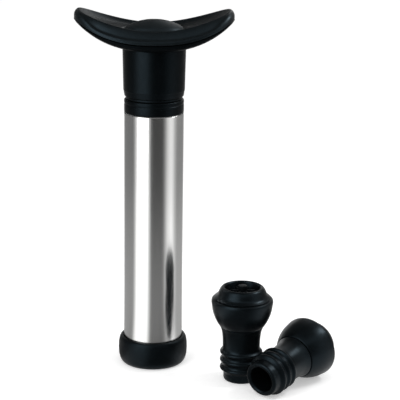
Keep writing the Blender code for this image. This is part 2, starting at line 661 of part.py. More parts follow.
def plug_outline():
    """Half outline of a stopper's stem, ribs and plug, and of the bore up the middle."""
    stem_top = (STEM_TOP_RADIUS, STEM_TOP_HEIGHT)
    end = (PLUG_RADIUS - PLUG_ROUND, 0.0)
    outline = bend(stem_top, (STEM_RADIUS, STEM_SWELL_HEIGHT), (STEM_RADIUS, STEM_LOW_HEIGHT))
    for index in reversed(range(RIB_COUNT)):
        height = FIRST_RIB_HEIGHT + RIB_PITCH * index
        outline += [(RIB_GROOVE_RADIUS, height + RIB_HALF_WIDTH), (RIB_RADIUS, height)]
        outline.append((RIB_GROOVE_RADIUS, height - RIB_HALF_WIDTH))
    outline += [(PLUG_RADIUS, PLUG_LENGTH), (PLUG_RADIUS, PLUG_ROUND)]
    outline += bend((PLUG_RADIUS, PLUG_ROUND), (PLUG_RADIUS, 0.0), end)
    outline += [(BORE_RADIUS + BORE_EDGE, 0.0), (BORE_RADIUS, BORE_EDGE)]
    outline += [(BORE_RADIUS, BORE_DEPTH), (0.0, BORE_DEPTH)]
    return outline


def make_stopper(prefix, rubber, valve_look, parent):
    """One stopper and the ribbed valve insert that stands in the recess of its crown."""
    outline = head_outline() + plug_outline()
    piece(prefix + "_stopper", turned(outline, STOPPER_STEPS, closed=False), rubber, parent)
    seat = STOPPER_HEIGHT - RECESS_DEPTH + FIT
    rim = RECESS_FLOOR_RADIUS - FIT
    outline = [(0.0, 0.0), (rim, 0.0), (rim, VALVE_BASE), (VALVE_POST_RADIUS, VALVE_BASE)]
    outline += [(VALVE_POST_RADIUS, VALVE_POST_HEIGHT), (0.0, VALVE_POST_HEIGHT)]
    insert = turned(outline, SMALL_STEPS, closed=False)
    made = piece(prefix + "_valve", insert, valve_look, parent, seat)
    fins = spokes(VALVE_FIN_COUNT, VALVE_POST_RADIUS / 2, rim - VALVE_FIN_WIDTH, VALVE_FIN_WIDTH,
                  VALVE_BASE / 2, VALVE_FIN_HEIGHT)
    shape_with(made, prefix + "_fins", fins, "UNION")


def reach(lean):
    """How far a stopper reaches from its plug end in a direction, given its axis's share along it."""
    spread = sqrt(1 - lean ** 2)
    outline = head_outline() + plug_outline()
    return max(height * lean + radius * spread for radius, height in outline)


def pump_place():
    """Where the pump's axis stands, so that the origin is the middle of the whole set's footprint."""
    level = cos(LYING_LEAN)
    right = LYING_X + reach(level * cos(LYING_HEADING))
    front = LYING_Y - reach(-level * sin(LYING_HEADING))
    return (WING_HALF_SPAN - right) / 2, -(WING_HALF_DEPTH + front) / 2


def main():
    """Builds the pump and its two stoppers."""
    clear_scene()
    steel = finish("brushed_steel", (0.62, 0.62, 0.61), 0.32, 1.0)
    bright = finish("rod_steel", (0.70, 0.70, 0.70), 0.22, 1.0)
    brass = finish("insert_brass", (0.72, 0.53, 0.24), 0.35, 1.0)
    plastic = finish("black_plastic", (0.018, 0.020, 0.021), 0.42)
    clear = finish("liner_plastic", (0.55, 0.56, 0.56), 0.40)
    pad = finish("pad_rubber", (0.030, 0.033, 0.034), 0.55)
    cap = finish("dome_plastic", (0.060, 0.064, 0.066), 0.38)
    rubber = finish("black_rubber", (0.014, 0.016, 0.016), 0.60)
    stopper_look = finish("stopper_rubber", (0.022, 0.025, 0.026), 0.55)
    valve_look = finish("valve_rubber", (0.085, 0.090, 0.092), 0.60)
    pump_x, pump_y = pump_place()
    barrel = carrier("barrel", (pump_x, pump_y, 0.0))
    moving = carrier("piston_axis", (pump_x, pump_y, 0.0))
    ring = carrier("ring_axis", (pump_x, pump_y, 0.0))
    handle = carrier("handle_axis", (pump_x, pump_y, 0.0))
    standing = carrier("standing_axis", (pump_x + STANDING_X, pump_y + STANDING_Y, 0.0))
    lying_turn = (0.0, pi / 2 - LYING_LEAN, LYING_HEADING)
    lying = carrier("lying_axis", (pump_x + LYING_X, pump_y + LYING_Y, LYING_Z), lying_turn)
    make_foot(rubber, barrel)
    make_nozzle(plastic, rubber, barrel)
    make_barrel(steel, clear, barrel)
    make_collar(plastic, clear, rubber, barrel)
    make_piston(plastic, moving)
    make_piston_ring(rubber, ring)
    make_rod(bright, brass, handle)
    make_core(clear, handle)
    make_neck(plastic, handle)
    make_wing_shell(plastic, handle)
    make_palm_pad(pad, handle)
    make_dome(cap, handle)
    make_handle_fasteners(bright, handle)
    make_stopper("standing", stopper_look, valve_look, standing)
    make_stopper("lying", stopper_look, valve_look, lying)


if __name__ == "__main__":
    main()
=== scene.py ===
"""Models the visible pieces of a hand vacuum pump and its two rubber stoppers round their fixed frame.

Lengths are in metres, in the frame's own axes, with +Z up.
"""
from math import atan2, cos, pi, radians, sin, sqrt

import bmesh
import bpy
from bpy.props import FloatProperty, FloatVectorProperty, IntProperty, PointerProperty
from mathutils import Matrix, Vector


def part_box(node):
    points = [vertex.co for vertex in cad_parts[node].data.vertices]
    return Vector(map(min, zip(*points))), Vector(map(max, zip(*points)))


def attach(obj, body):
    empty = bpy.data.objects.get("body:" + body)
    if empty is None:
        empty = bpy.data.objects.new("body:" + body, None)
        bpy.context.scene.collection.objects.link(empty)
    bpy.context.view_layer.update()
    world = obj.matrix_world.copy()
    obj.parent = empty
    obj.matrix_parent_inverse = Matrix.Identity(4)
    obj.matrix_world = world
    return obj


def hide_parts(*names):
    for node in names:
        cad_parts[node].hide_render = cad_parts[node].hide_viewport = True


bl_info = {
    "name": "Wine pump pieces",
    "version": (1, 0, 0),
    "blender": (4, 5, 0),
    "location": "3D View > Sidebar > Wine pump",
    "description": "Models and finishes the pieces of a hand vacuum pump and of its stoppers",
    "category": "Object",
}

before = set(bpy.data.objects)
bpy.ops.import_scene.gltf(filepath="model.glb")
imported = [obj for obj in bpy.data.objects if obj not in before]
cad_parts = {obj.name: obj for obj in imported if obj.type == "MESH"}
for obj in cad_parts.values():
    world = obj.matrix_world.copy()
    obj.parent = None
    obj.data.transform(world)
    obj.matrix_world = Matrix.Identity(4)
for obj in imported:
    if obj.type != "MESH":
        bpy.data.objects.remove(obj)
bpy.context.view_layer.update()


def middle_of(node):
    """The middle of a CAD node's footprint, and its lowest and highest point."""
    low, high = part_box(node)
    return (low.x + high.x) / 2, (low.y + high.y) / 2, low.z, high.z


# Where the pieces stand, read from the frame
PUMP_X, PUMP_Y, SLEEVE_LOW, SLEEVE_TOP = middle_of("steel_sleeve")
STANDING_X, STANDING_Y = middle_of("standing_stopper")[:2]
RING_LOW, RING_TOP = middle_of("landing_ring")[2:]
NECK_LOW = middle_of("neck_shell")[2]
ROD_LOW, ROD_TOP = middle_of("piston_rod")[2:]
WING_Z = middle_of("wing_shell")[2]

# Steps round a turned piece and round the wing, and steps along a bend
TURN_STEPS = 96
WING_STEPS = 72
BEND_STEPS = 4

# How far apart points may be and still merge, and the play between two pieces
MERGE = 0.000001
FIT = 0.0003

# The middle of a way, and a full turn in degrees
HALFWAY = 0.5
FULL_TURN = 360

# Angle up to which faces shade smooth, and angle up to which a corner of an outline counts as straight
SMOOTH_ANGLE = radians(38)
STRAIGHT_ANGLE = radians(12)

# Rounding of edges, its limits, and the most of a line that a rounded corner takes
EDGE_ROUND = 0.0005
RIB_ROUND = 0.0009
LEAST_ROUND = 0.0001
MOST_ROUND = 0.002
CORNER_SHARE = 0.45
SOFTEN_LEVELS = 1

# Barrel
SLEEVE_RADIUS = 0.0155
SLEEVE_WALL = 0.0006
SLEEVE_ROLL = 0.00025

# Foot
FOOT_RADIUS = 0.0183
FOOT_BASE_RADIUS = 0.0152
FOOT_RIM_RADIUS = 0.0164
FOOT_WIDEST_HEIGHT = 0.0077
FOOT_HEIGHT = 0.0146
FOOT_SEAT_HEIGHT = 0.0065
SOCKET_RADIUS = 0.0116
SOCKET_MOUTH_RADIUS = 0.0125
SOCKET_MOUTH_DEPTH = 0.0024

# Collar, the rubber ring on it and the rod
COLLAR_RADIUS = 0.0154
COLLAR_SPIGOT = 0.0070
SPIGOT_RADIUS = 0.0127
COLLAR_SEAT_RADIUS = 0.0085
COLLAR_SHOULDER_RADIUS = 0.0100
COLLAR_SHOULDER_DEPTH = 0.0019
COLLAR_GROOVE_HEIGHT = 0.0044
COLLAR_GROOVE_WIDTH = 0.0006
COLLAR_GROOVE_DEPTH = 0.0003
LANDING_RADIUS = 0.0146
LANDING_BORE = 0.0105
LANDING_SEAT = 0.00025
ROD_RADIUS = 0.0060
ROD_BORE = 0.0041

# Neck
NECK_RADIUS = 0.0158
NECK_TOP_RADIUS = 0.01625
NECK_BORE = 0.0136
NECK_HEIGHT = 0.0247
NECK_TAPER = 0.0006
NECK_TAPER_HEIGHT = 0.0030
NECK_LINE = 0.00012
NECK_BLEND = FIT * 4

# Wing, seen from above, and its heights over its underside
WING_HALF_SPAN = 0.0406
WING_HALF_DEPTH = 0.0240
WING_RISE = 0.0141
EDGE_HEIGHT = 0.0063
EDGE_RISE = 0.0114
CREST_END_INSET = 0.0029
CREST_SIDE_INSET = 0.0045
CREST_HEIGHT = 0.0101
CREST_RISE = 0.0102
DISH_DEPTH = 0.0029
PAD_LIP = 0.0014
PAD_EDGE = 0.0026
SHELL_TUCK = 0.0046
DOME_HALF_SPAN = 0.0152
DOME_HALF_DEPTH = 0.0112
DOME_HEIGHT = 0.0141
DOME_FALL = 0.0044
DOME_WALL = 0.0016
DOME_EDGE = 0.0005
DOME_MOAT = 0.0005

# Wing: powers of its curves, and shares of its span at which a form starts or is full
PLAN_POWER = 2.6
EDGE_POWER = 2.4
CREST_POWER = 1.8
FLANK_POWER = 1.5
DISH_POWER = 5.0
DISH_EASE = 1.4
DISH_MIDDLE_SHARE = 0.65
DISH_FULL_SHARE = 0.7
DOME_POWER = 2.3
TIP_START_SHARE = 0.72
TIP_BLEND_SHARE = 0.2

# Wing: shares of the way along each of its slopes at which a ring of points lies
DISH_SHARES = (0.0, 0.05, 0.1, 0.2, 0.34, 0.48, 0.6, 0.7, 0.78, 0.85, 0.91, 0.96, 1.0)
FLANK_SHARES = (0.08, 0.2, 0.36, 0.54, 0.72, 0.88)
LIP_SHARES = (0.0, 0.4, 0.75, 1.0)
SEAT_SHARES = (0.25, 0.5, 0.75)
SHELL_SEAT_SHARES = (*SEAT_SHARES, 0.96, 1.0)
PAD_SEAT_SHARES = (0.04, *SEAT_SHARES, 0.96)
DOME_SHARES = (0.12, 0.3, 0.5, 0.68, 0.83, 0.94)

# Stopper
STOPPER_HEIGHT = 0.0503
PLUG_RADIUS = 0.00906
PLUG_LENGTH = 0.0045
PLUG_ROUND = 0.0014
RIB_RADIUS = 0.0110
RIB_GROOVE_RADIUS = 0.0098
RIB_HALF_WIDTH = 0.0014
FIRST_RIB_HEIGHT = 0.0066
RIB_PITCH = 0.0043
RIB_COUNT = 3
STEM_RADIUS = 0.0096
STEM_LOW_HEIGHT = 0.0180
STEM_SWELL_HEIGHT = 0.0262
STEM_TOP_RADIUS = 0.0110
STEM_TOP_HEIGHT = 0.0287
CREASE_WIDTH = 0.0007
CREASE_DEPTH = 0.0006
CREASE_LIP = 0.0004
SWELL_RADIUS = 0.0144
SWELL_HEIGHT = 0.0336
BAND_RADIUS = 0.0159
BAND_LOW_RADIUS = 0.0153
BAND_LOW_HEIGHT = 0.0380
BAND_TOP_HEIGHT = 0.0422
FLARE_RADIUS = 0.0147
FLARE_HEIGHT = 0.0447
FLARE_PULL_RADIUS = 0.0127
FLARE_PULL_HEIGHT = 0.0456
WAIST_RADIUS = 0.0123
WAIST_HEIGHT = 0.0474
SHOULDER_RADIUS = 0.0111
CROWN_RADIUS = 0.0100
RECESS_RADIUS = 0.0091
RECESS_FLOOR_RADIUS = 0.0078
RECESS_DEPTH = 0.0078
RECESS_EDGE = 0.0006
BORE_RADIUS = 0.0064
BORE_DEPTH = 0.0385
BORE_EDGE = 0.0008
LYING_X = 0.0539
LYING_Y = -0.0540
LYING_HEADING = radians(49)
LYING_LEAN = atan2(BAND_RADIUS - RIB_RADIUS, BAND_TOP_HEIGHT - FIRST_RIB_HEIGHT)
LYING_Z = RIB_RADIUS * cos(LYING_LEAN) - FIRST_RIB_HEIGHT * sin(LYING_LEAN)

# Valve insert
VALVE_BASE = 0.0014
VALVE_POST_RADIUS = 0.0024
VALVE_POST_HEIGHT = 0.0081
VALVE_FIN_WIDTH = 0.0011
VALVE_FIN_HEIGHT = 0.0058
VALVE_FIN_COUNT = 6
FIN_BLANK = 1.0
FIN_BEVELS = 3

# Finishes: a tone or a streak is a colour of the tones below, a bloom is a colour, and scales are per metre

# Moulded finishes: name, tone, bloom, roughness where shiny and dull, grain's scale, its height and gloss
MOULDED = (
    ("satin black plastic", "plastic", (0.0014, 0.0018, 0.0020), 0.30, 0.38, 2600.0, 0.00001, 0.10),
    # The shell is the neck's plastic, darker and duller: its darker colour is painted shade under the wing
    ("shaded shell plastic", "plastic", (0.0010, 0.0013, 0.0015), 0.40, 0.50, 2600.0, 0.00001, 0.04),
    ("soft touch pad", "pad", (0.0040, 0.0050, 0.0054), 0.32, 0.42, 3000.0, 0.00002, 0.24),
    ("dome plastic", "dome", (0.0086, 0.0104, 0.0110), 0.38, 0.48, 2600.0, 0.00001, 0.24),
    ("foot rubber", "rubber", (0.0020, 0.0025, 0.0027), 0.34, 0.46, 2200.0, 0.00002, 0.14),
    ("stopper rubber", "stopper", (0.0020, 0.0026, 0.0029), 0.28, 0.38, 2200.0, 0.00002, 0.17),
    ("valve rubber", "valve", (0.0036, 0.0043, 0.0046), 0.44, 0.56, 2200.0, 0.00002, 0.07),
    ("natural moulded plastic", "natural", (0.58, 0.59, 0.58), 0.34, 0.48, 1800.0, 0.00001, 0.50),
)

# Moulded finishes: tint of their gloss, their patches of bloom and of gloss, and their grain
COOL_TINT = (0.56, 0.82, 1.0, 1.0)
PATCH_SCALE = 160.0
GLOSS_SCALE = 420.0
MOULD_DETAIL = 2.0
MOULD_BUMP = 0.35

# Brushed finishes: name, tone, streak, roughness where shiny and dull
BRUSHED = (
    ("brushed steel", "steel", "steel_streak", 0.15, 0.23),
    ("ground rod steel", "rod", "rod_streak", 0.14, 0.22),
    ("turned brass", "brass", "brass_streak", 0.22, 0.34),
)

# Brushed finishes: how far they smear a reflection and which way, and their streaks and grain
SMEAR = 0.6
SMEAR_TURN = 0.25
STREAK_SCALE = 900.0
STREAK_STRETCH = (1.0, 1.0, 0.006)
STREAK_DETAIL = 4.0
GRAIN_SCALE = 3200.0
GRAIN_STRETCH = (1.0, 1.0, 0.01)
GRAIN_DETAIL = 2.0
GRAIN_BUMP = 0.25
GRAIN_HEIGHT = 0.00003

# Any finish: the noise's values that count as its lowest and highest, its detail, and a shader's usual gloss
NOISE_LOW = 0.3
NOISE_HIGH = 0.7
NOISE_DETAIL = 3.0
USUAL_GLOSS = 0.5

# Stage: floor, paper and cloth, and how bright paper looks where it is seen
FLOOR_RADIUS = 6.0
PAPER_TONE = (0.9, 0.9, 0.9)
CLOTH_TONE = (0.12, 0.12, 0.12)
PAPER_ROUGHNESS = 0.9
PAPER_GLOSS = 0.1
FLOOR_LIFT = 0.36
# The sweep glows: painted light that only reflections see
SWEEP_PAINTED_GLOW = 0.25
WHITE = (1.0, 1.0, 1.0, 1.0)
FILL_STRENGTH = 0.72

# Stage: the sweep of paper that reflections see, with its greys at azimuths in degrees. The greys are painted
# reflections: pale where softboxes show in the metal, dark for dark surroundings
PAINTED_REFLECTION_GREYS = (
    (-160, 0.85), (-149, 0.30), (-138, 0.20), (-88, 0.17), (-80, 0.22), (-72, 0.60), (-66, 0.95), (-23, 0.95),
    (-16, 0.50), (-10, 0.10), (-4, 0.06), (30, 0.06), (36, 0.10), (43, 0.26), (51, 0.60), (60, 0.86),
    (69, 0.93), (78, 0.78), (88, 0.46), (99, 0.27), (127, 0.25), (138, 0.26), (152, 0.34), (164, 0.85),
)
SWEEP_INNER = 0.02
SWEEP_OUTER = 0.95
SWEEP_RISE = 0.8
SWEEP_TURN = radians(-90)
SWEEP_NEAR = 0.10
SWEEP_FAR = 0.50
# Grey that the sweep gains near the pump, painted light in the reflections
SWEEP_NEAR_PAINTED_GREY = 0.09

# Stage: the dark flags that reflections see, over the set and behind the wing
FLAG_HEIGHT = 0.75
FLAG_RADIUS = 0.5
BACK_FLAG_DISTANCE = 0.5
BACK_FLAG_LOW = 0.2
BACK_FLAG_TOP = 0.75
BACK_FLAG_START = 172
BACK_FLAG_END = 275

# Stage: each lamp's name, azimuth in degrees, distance from the pump, height, width, length and watts
LAMPS = (
    ("left_softbox", -42.0, 0.5, 0.42, 0.36, 0.84, 2.1),
    ("right_softbox", 96.0, 0.42, 0.46, 0.14, 0.24, 1.4),
)

# Stage: the camera
CAMERA_DISTANCE = 0.6824
CAMERA_HEIGHT = 0.269
CAMERA_HEADING = radians(-2.04)
CAMERA_PITCH = radians(90 - 14.78)
CAMERA_ROLL = radians(0.8)
CAMERA_LENS = 121.32
CAMERA_REACH = 30.0
SENSOR_WIDTH = 36.0


def nothing_selected():
    """Leaves edit mode and deselects every object."""
    if bpy.context.object and bpy.context.object.mode != "OBJECT":
        bpy.ops.object.mode_set(mode="OBJECT")
    bpy.ops.object.select_all(action="DESELECT")


def made_active(piece):
    """Makes one object the only one selected, and the active one."""
    nothing_selected()
    piece.select_set(True)
    bpy.context.view_layer.objects.active = piece
    return piece


def smoothed(piece):
    """Merges doubles, turns the faces outwards, shades them smooth and puts the origin at zero."""
    made_active(piece)
    bpy.ops.object.mode_set(mode="EDIT")
    bpy.ops.mesh.select_all(action="SELECT")
    bpy.ops.mesh.remove_doubles(threshold=MERGE)
    bpy.ops.mesh.normals_make_consistent(inside=False)
    bpy.ops.object.mode_set(mode="OBJECT")
    bpy.ops.object.transform_apply(location=True, rotation=True, scale=True)
    bpy.ops.object.shade_smooth_by_angle(angle=SMOOTH_ANGLE)
    return piece


def bend(start, towards, end):
    """Points of a smooth bend from start to end, drawn towards a third point. The start is left out."""
    points = []
    for step in range(1, BEND_STEPS + 1):
        share = step / BEND_STEPS
        first = Vector(start).lerp(Vector(towards), share)
        second = Vector(towards).lerp(Vector(end), share)
        points.append(tuple(first.lerp(second, share)))
    return points


def eased(outline, radius, closed=True):
    """Rounds the corners of an outline of (radius, height) points, but for the ends of an open one."""
    count = len(outline)
    points = []
    for index, corner in enumerate(outline):
        here = Vector(corner)
        before = Vector(outline[index - 1])
        after = Vector(outline[(index + 1) % count])
        if not closed and index in (0, count - 1):
            points.append(corner)
            continue
        back, ahead = before - here, after - here
        if abs(back.angle(ahead) - pi) < STRAIGHT_ANGLE:
            points.append(corner)
            continue
        start = here + back.normalized() * min(radius, back.length * CORNER_SHARE)
        end = here + ahead.normalized() * min(radius, ahead.length * CORNER_SHARE)
        points.append(tuple(start))
        points += bend(start, here, end)
    return points


def turned(name, outline, centre, closed=True):
    """Draws half an outline of (radius, height) points and spins it round the upright axis at centre."""
    axis = Vector(centre)
    nothing_selected()
    first = outline[0]
    start = axis + Vector((first[0], 0.0, first[1]))
    bpy.ops.mesh.primitive_plane_add(size=FIT, location=start)
    piece = bpy.context.object
    piece.name = name
    bpy.ops.object.mode_set(mode="EDIT")
    bpy.ops.mesh.merge(type="CENTER")
    path = list(outline) + ([first] if closed else [])
    for here, there in zip(path, path[1:]):
        move = (there[0] - here[0], 0.0, there[1] - here[1])
        bpy.ops.mesh.extrude_region_move(TRANSFORM_OT_translate={"value": move})
    bpy.ops.mesh.select_all(action="SELECT")
    bpy.ops.mesh.remove_doubles(threshold=MERGE)
    bpy.ops.mesh.spin(steps=TURN_STEPS, angle=2 * pi, center=axis, axis=(0.0, 0.0, 1.0), use_auto_merge=True)
    return smoothed(piece)


def plan_ring(half_span, half_depth, power):
    """Points round a rounded oblong, seen from above. A power of 2 makes it an ellipse."""
    points = []
    for step in range(WING_STEPS):
        angle = 2 * pi * step / WING_STEPS
        across, along = cos(angle), sin(angle)
        x = half_span * abs(across) ** (2 / power) * (1 if across > 0 else -1)
        y = half_depth * abs(along) ** (2 / power) * (1 if along > 0 else -1)
        points.append((x, y))
    return points


def between(first, second, share):
    """The ring a share of the way from one ring to another."""
    return [(ax + (bx - ax) * share, ay + (by - ay) * share) for (ax, ay), (bx, by) in zip(first, second)]


def raised(ring, height):
    """Gives each point of a ring its height, which is a function of its X."""
    return [(x, y, height(x)) for x, y in ring]


def lofted(name, rings, centre, closed=True):
    """Extrudes a circle ring by ring. A closed loft ends on its first ring again, an open one is capped."""
    place = Vector(centre)
    nothing_selected()
    bpy.ops.mesh.primitive_circle_add(vertices=WING_STEPS, radius=WING_HALF_SPAN, location=place)
    piece = bpy.context.object
    piece.name = name
    bpy.ops.object.mode_set(mode="EDIT")
    bm = bmesh.from_edit_mesh(piece.data)
    lay_ring(bm, rings[0])
    for ring in rings[1:] + (rings[:1] if closed else []):
        bpy.ops.mesh.extrude_region_move()
        bm = bmesh.from_edit_mesh(piece.data)
        lay_ring(bm, ring)
    if not closed:
        for end in (False, True):
            cap_ring(piece, end)
    return smoothed(piece)


def lay_ring(bm, ring):
    """Lays the selected ring of points on the ring's places, in order round the upright axis."""
    picked = [vert for vert in bm.verts if vert.select]
    picked.sort(key=lambda vert: (atan2(vert.co.y, vert.co.x) + MERGE) % (2 * pi))
    for vert, place in zip(picked, ring):
        vert.co = place
    bmesh.update_edit_mesh(bpy.context.object.data)


def cap_ring(piece, last):
    """Closes one end of an open loft with a fan of faces."""
    bm = bmesh.from_edit_mesh(piece.data)
    ends = [edge for edge in bm.edges if len(edge.link_faces) < 2]
    ends.sort(key=lambda edge: edge.verts[0].index)
    chosen = ends[-WING_STEPS:] if last else ends[:WING_STEPS]
    for edge in bm.edges:
        edge.select_set(False)
    for edge in chosen:
        edge.select_set(True)
    bmesh.update_edit_mesh(piece.data)
    bpy.ops.mesh.edge_face_add()
    bpy.ops.mesh.poke()


def softened(piece):
    """Subdivides a lofted piece and applies the change."""
    made_active(piece)
    change = piece.modifiers.new("Softer", "SUBSURF")
    change.levels = SOFTEN_LEVELS
    change.render_levels = SOFTEN_LEVELS
    bpy.ops.object.modifier_apply(modifier=change.name)
    bpy.ops.object.shade_smooth_by_angle(angle=SMOOTH_ANGLE)
    return piece


def underside(x):
    """Height of the wing's underside over its lowest line."""
    return WING_RISE * (abs(x) / WING_HALF_SPAN) ** EDGE_POWER


def edge_top(x):
    """Height of the top of the wing's edge."""
    return EDGE_HEIGHT + EDGE_RISE * (abs(x) / WING_HALF_SPAN) ** EDGE_POWER


def crest(x):
    """Height of the crest that runs round the wing's dished top."""
    return CREST_HEIGHT + CREST_RISE * (abs(x) / WING_HALF_SPAN) ** CREST_POWER


def parting(x):
    """Height at which the pad stands on the shell."""
    return edge_top(x) - PAD_EDGE


def rolled(x, height, share):
    """Height on the wing's outer slope. Towards the tips the flank and its lip become one round roll."""
    tip = (abs(x) / WING_HALF_SPAN - TIP_START_SHARE) / TIP_BLEND_SHARE
    low = edge_top(x) - PAD_LIP
    roll = low + (crest(x) - low) * sqrt(1 - share ** 2)
    return height + (roll - height) * min(1.0, max(0.0, tip))


def placed(piece, body, finish, slot, *nodes):
    """Gives a piece its finish and its body, and hides the CAD nodes that it stands for."""
    piece.data.materials.clear()
    piece.data.materials.append(finish)
    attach(piece, body)
    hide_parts(*nodes)
    return piece


def plain_finish(name, colour, roughness, metallic=0.0, gloss=USUAL_GLOSS):
    """A new material with its shader's fixed values. Returns it, its node tree and its shader."""
    look = bpy.data.materials.new(name)
    look.use_nodes = True
    shader = look.node_tree.nodes["Principled BSDF"]
    shader.inputs["Base Color"].default_value = (*colour, 1.0)
    shader.inputs["Roughness"].default_value = roughness
    shader.inputs["Metallic"].default_value = metallic
    shader.inputs["Specular IOR Level"].default_value = gloss
    return look, look.node_tree, shader


def noise(tree, scale, stretch=(1.0, 1.0, 1.0), detail=NOISE_DETAIL):
    """Noise on Object coordinates, at a scale per metre and stretched along the axes."""
    where = tree.nodes.new("ShaderNodeTexCoord")
    mapping = tree.nodes.new("ShaderNodeMapping")
    mapping.inputs["Scale"].default_value = stretch
    texture = tree.nodes.new("ShaderNodeTexNoise")
    texture.inputs["Scale"].default_value = scale
    texture.inputs["Detail"].default_value = detail
    tree.links.new(where.outputs["Object"], mapping.inputs["Vector"])
    tree.links.new(mapping.outputs["Vector"], texture.inputs["Vector"])
    return texture.outputs["Fac"]


def between_values(tree, source, low, high, start=NOISE_LOW, end=NOISE_HIGH):
    """A value between two others, as the source goes from start to end."""
    ranged = tree.nodes.new("ShaderNodeMapRange")
    ranged.inputs["From Min"].default_value = start
    ranged.inputs["From Max"].default_value = end
    ranged.inputs["To Min"].default_value = low
    ranged.inputs["To Max"].default_value = high
    tree.links.new(source, ranged.inputs["Value"])
    return ranged.outputs["Result"]


def mixed_colour(tree, source, first, second):
    """A colour between two others, as noise has it."""
    ramp = tree.nodes.new("ShaderNodeValToRGB")
    ramp.color_ramp.elements[0].position = NOISE_LOW
    ramp.color_ramp.elements[1].position = NOISE_HIGH
    ramp.color_ramp.elements[0].color = (*first, 1.0)
    ramp.color_ramp.elements[1].color = (*second, 1.0)
    tree.links.new(source, ramp.inputs["Fac"])
    return ramp.outputs["Color"]


def bumped(tree, shader, source, strength, distance):
    """Lets noise raise the surface a little."""
    bump = tree.nodes.new("ShaderNodeBump")
    bump.inputs["Strength"].default_value = strength
    bump.inputs["Distance"].default_value = distance
    tree.links.new(source, bump.inputs["Height"])
    tree.links.new(bump.outputs["Normal"], shader.inputs["Normal"])


def moulded(name, colour, bloom, shiny, dull, grain, height, gloss):
    """Plastic or rubber with patches of bloom, an uneven gloss of a cool tint and a fine moulded grain."""
    look, tree, shader = plain_finish(name, colour, shiny, gloss=gloss)
    shader.inputs["Specular Tint"].default_value = COOL_TINT
    patches = noise(tree, PATCH_SCALE)
    tree.links.new(mixed_colour(tree, patches, colour, bloom), shader.inputs["Base Color"])
    uneven = between_values(tree, noise(tree, GLOSS_SCALE), shiny, dull)
    tree.links.new(uneven, shader.inputs["Roughness"])
    bumped(tree, shader, noise(tree, grain, detail=MOULD_DETAIL), MOULD_BUMP, height)
    return look


def brushed(name, colour, second, shiny, dull):
    """Metal with broad faint streaks, a fine grain and an uneven gloss. Reflections smear lengthwise."""
    look, tree, shader = plain_finish(name, colour, shiny, metallic=1.0)
    around = tree.nodes.new("ShaderNodeTangent")
    around.direction_type = "RADIAL"
    around.axis = "Z"
    tree.links.new(around.outputs["Tangent"], shader.inputs["Tangent"])
    shader.inputs["Anisotropic"].default_value = SMEAR
    shader.inputs["Anisotropic Rotation"].default_value = SMEAR_TURN
    broad = noise(tree, STREAK_SCALE, STREAK_STRETCH, STREAK_DETAIL)
    fine = noise(tree, GRAIN_SCALE, GRAIN_STRETCH, GRAIN_DETAIL)
    tree.links.new(mixed_colour(tree, broad, colour, second), shader.inputs["Base Color"])
    tree.links.new(between_values(tree, fine, shiny, dull), shader.inputs["Roughness"])
    bumped(tree, shader, fine, GRAIN_BUMP, GRAIN_HEIGHT)
    return look


def finishes():
    """Every finish of the set, by name. They are made once."""
    if BRUSHED[0][0] in bpy.data.materials:
        return bpy.data.materials
    tones = bpy.context.scene.pump_tones
    for name, tone, streak, *values in BRUSHED:
        brushed(name, getattr(tones, tone), getattr(tones, streak), *values)
    for name, tone, *values in MOULDED:
        moulded(name, getattr(tones, tone), *values)
    return bpy.data.materials


def tone_of(name, colour):
    """A colour that a user can change."""
    return FloatVectorProperty(name=name, description="Colour of the " + name.lower(), subtype="COLOR",
                               size=3, min=0.0, max=1.0, default=colour)


class PumpTones(bpy.types.PropertyGroup):
    """Colours of the set."""
    steel: tone_of("Brushed barrel", (0.76, 0.76, 0.75))
    steel_streak: tone_of("Barrel's paler streaks", (0.82, 0.82, 0.81))
    rod: tone_of("Ground rod", (0.66, 0.66, 0.66))
    rod_streak: tone_of("Rod's paler streaks", (0.72, 0.72, 0.71))
    brass: tone_of("Brass inserts", (0.66, 0.47, 0.20))
    brass_streak: tone_of("Brass inserts' paler streaks", (0.74, 0.55, 0.26))
    plastic: tone_of("Neck, collar and wing's shell", (0.0010, 0.0014, 0.0016))
    pad: tone_of("Wing's soft pad", (0.0028, 0.0036, 0.0039))
    dome: tone_of("Cap in the wing's middle", (0.0064, 0.0079, 0.0084))
    rubber: tone_of("Foot", (0.0013, 0.0018, 0.0020))
    stopper: tone_of("Stoppers", (0.0016, 0.0021, 0.0024))
    valve: tone_of("Stoppers' valve inserts", (0.0026, 0.0032, 0.0035))
    natural: tone_of("Plastic inside the pump", (0.50, 0.51, 0.50))


class PumpSizes(bpy.types.PropertyGroup):
    """Sizes that leave the pieces on their frame."""
    edge_round: FloatProperty(name="Edge rounding", description="Rounding of the moulded pieces' edges",
                              subtype="DISTANCE", unit="LENGTH", min=LEAST_ROUND, max=MOST_ROUND,
                              default=EDGE_ROUND)
    rib_round: FloatProperty(name="Rib rounding", description="Rounding of the ribs round a plug",
                             subtype="DISTANCE", unit="LENGTH", min=LEAST_ROUND, max=MOST_ROUND,
                             default=RIB_ROUND)
    light: FloatProperty(name="Light", description="Strength of the studio light on the object",
                         min=0.1, max=4.0, default=1.0)
    fins: IntProperty(name="Valve fins", description="How many fins stand round a valve's post",
                      min=2, max=12, default=VALVE_FIN_COUNT)


class PUMP_OT_barrel(bpy.types.Operator):
    """Steel tube of the barrel, with rolled ends"""
    bl_idname = "pump.barrel"
    bl_label = "Barrel"

    def execute(self, context):
        inner = SLEEVE_RADIUS - SLEEVE_WALL
        outline = [(inner, SLEEVE_LOW), (SLEEVE_RADIUS, SLEEVE_LOW)]
        outline += [(SLEEVE_RADIUS, SLEEVE_TOP), (inner, SLEEVE_TOP)]
        tube = turned("steel_tube", eased(outline, SLEEVE_ROLL), (PUMP_X, PUMP_Y, 0.0))
        placed(tube, "barrel", finishes()["brushed steel"], "brushed_steel", "steel_sleeve")
        return {"FINISHED"}


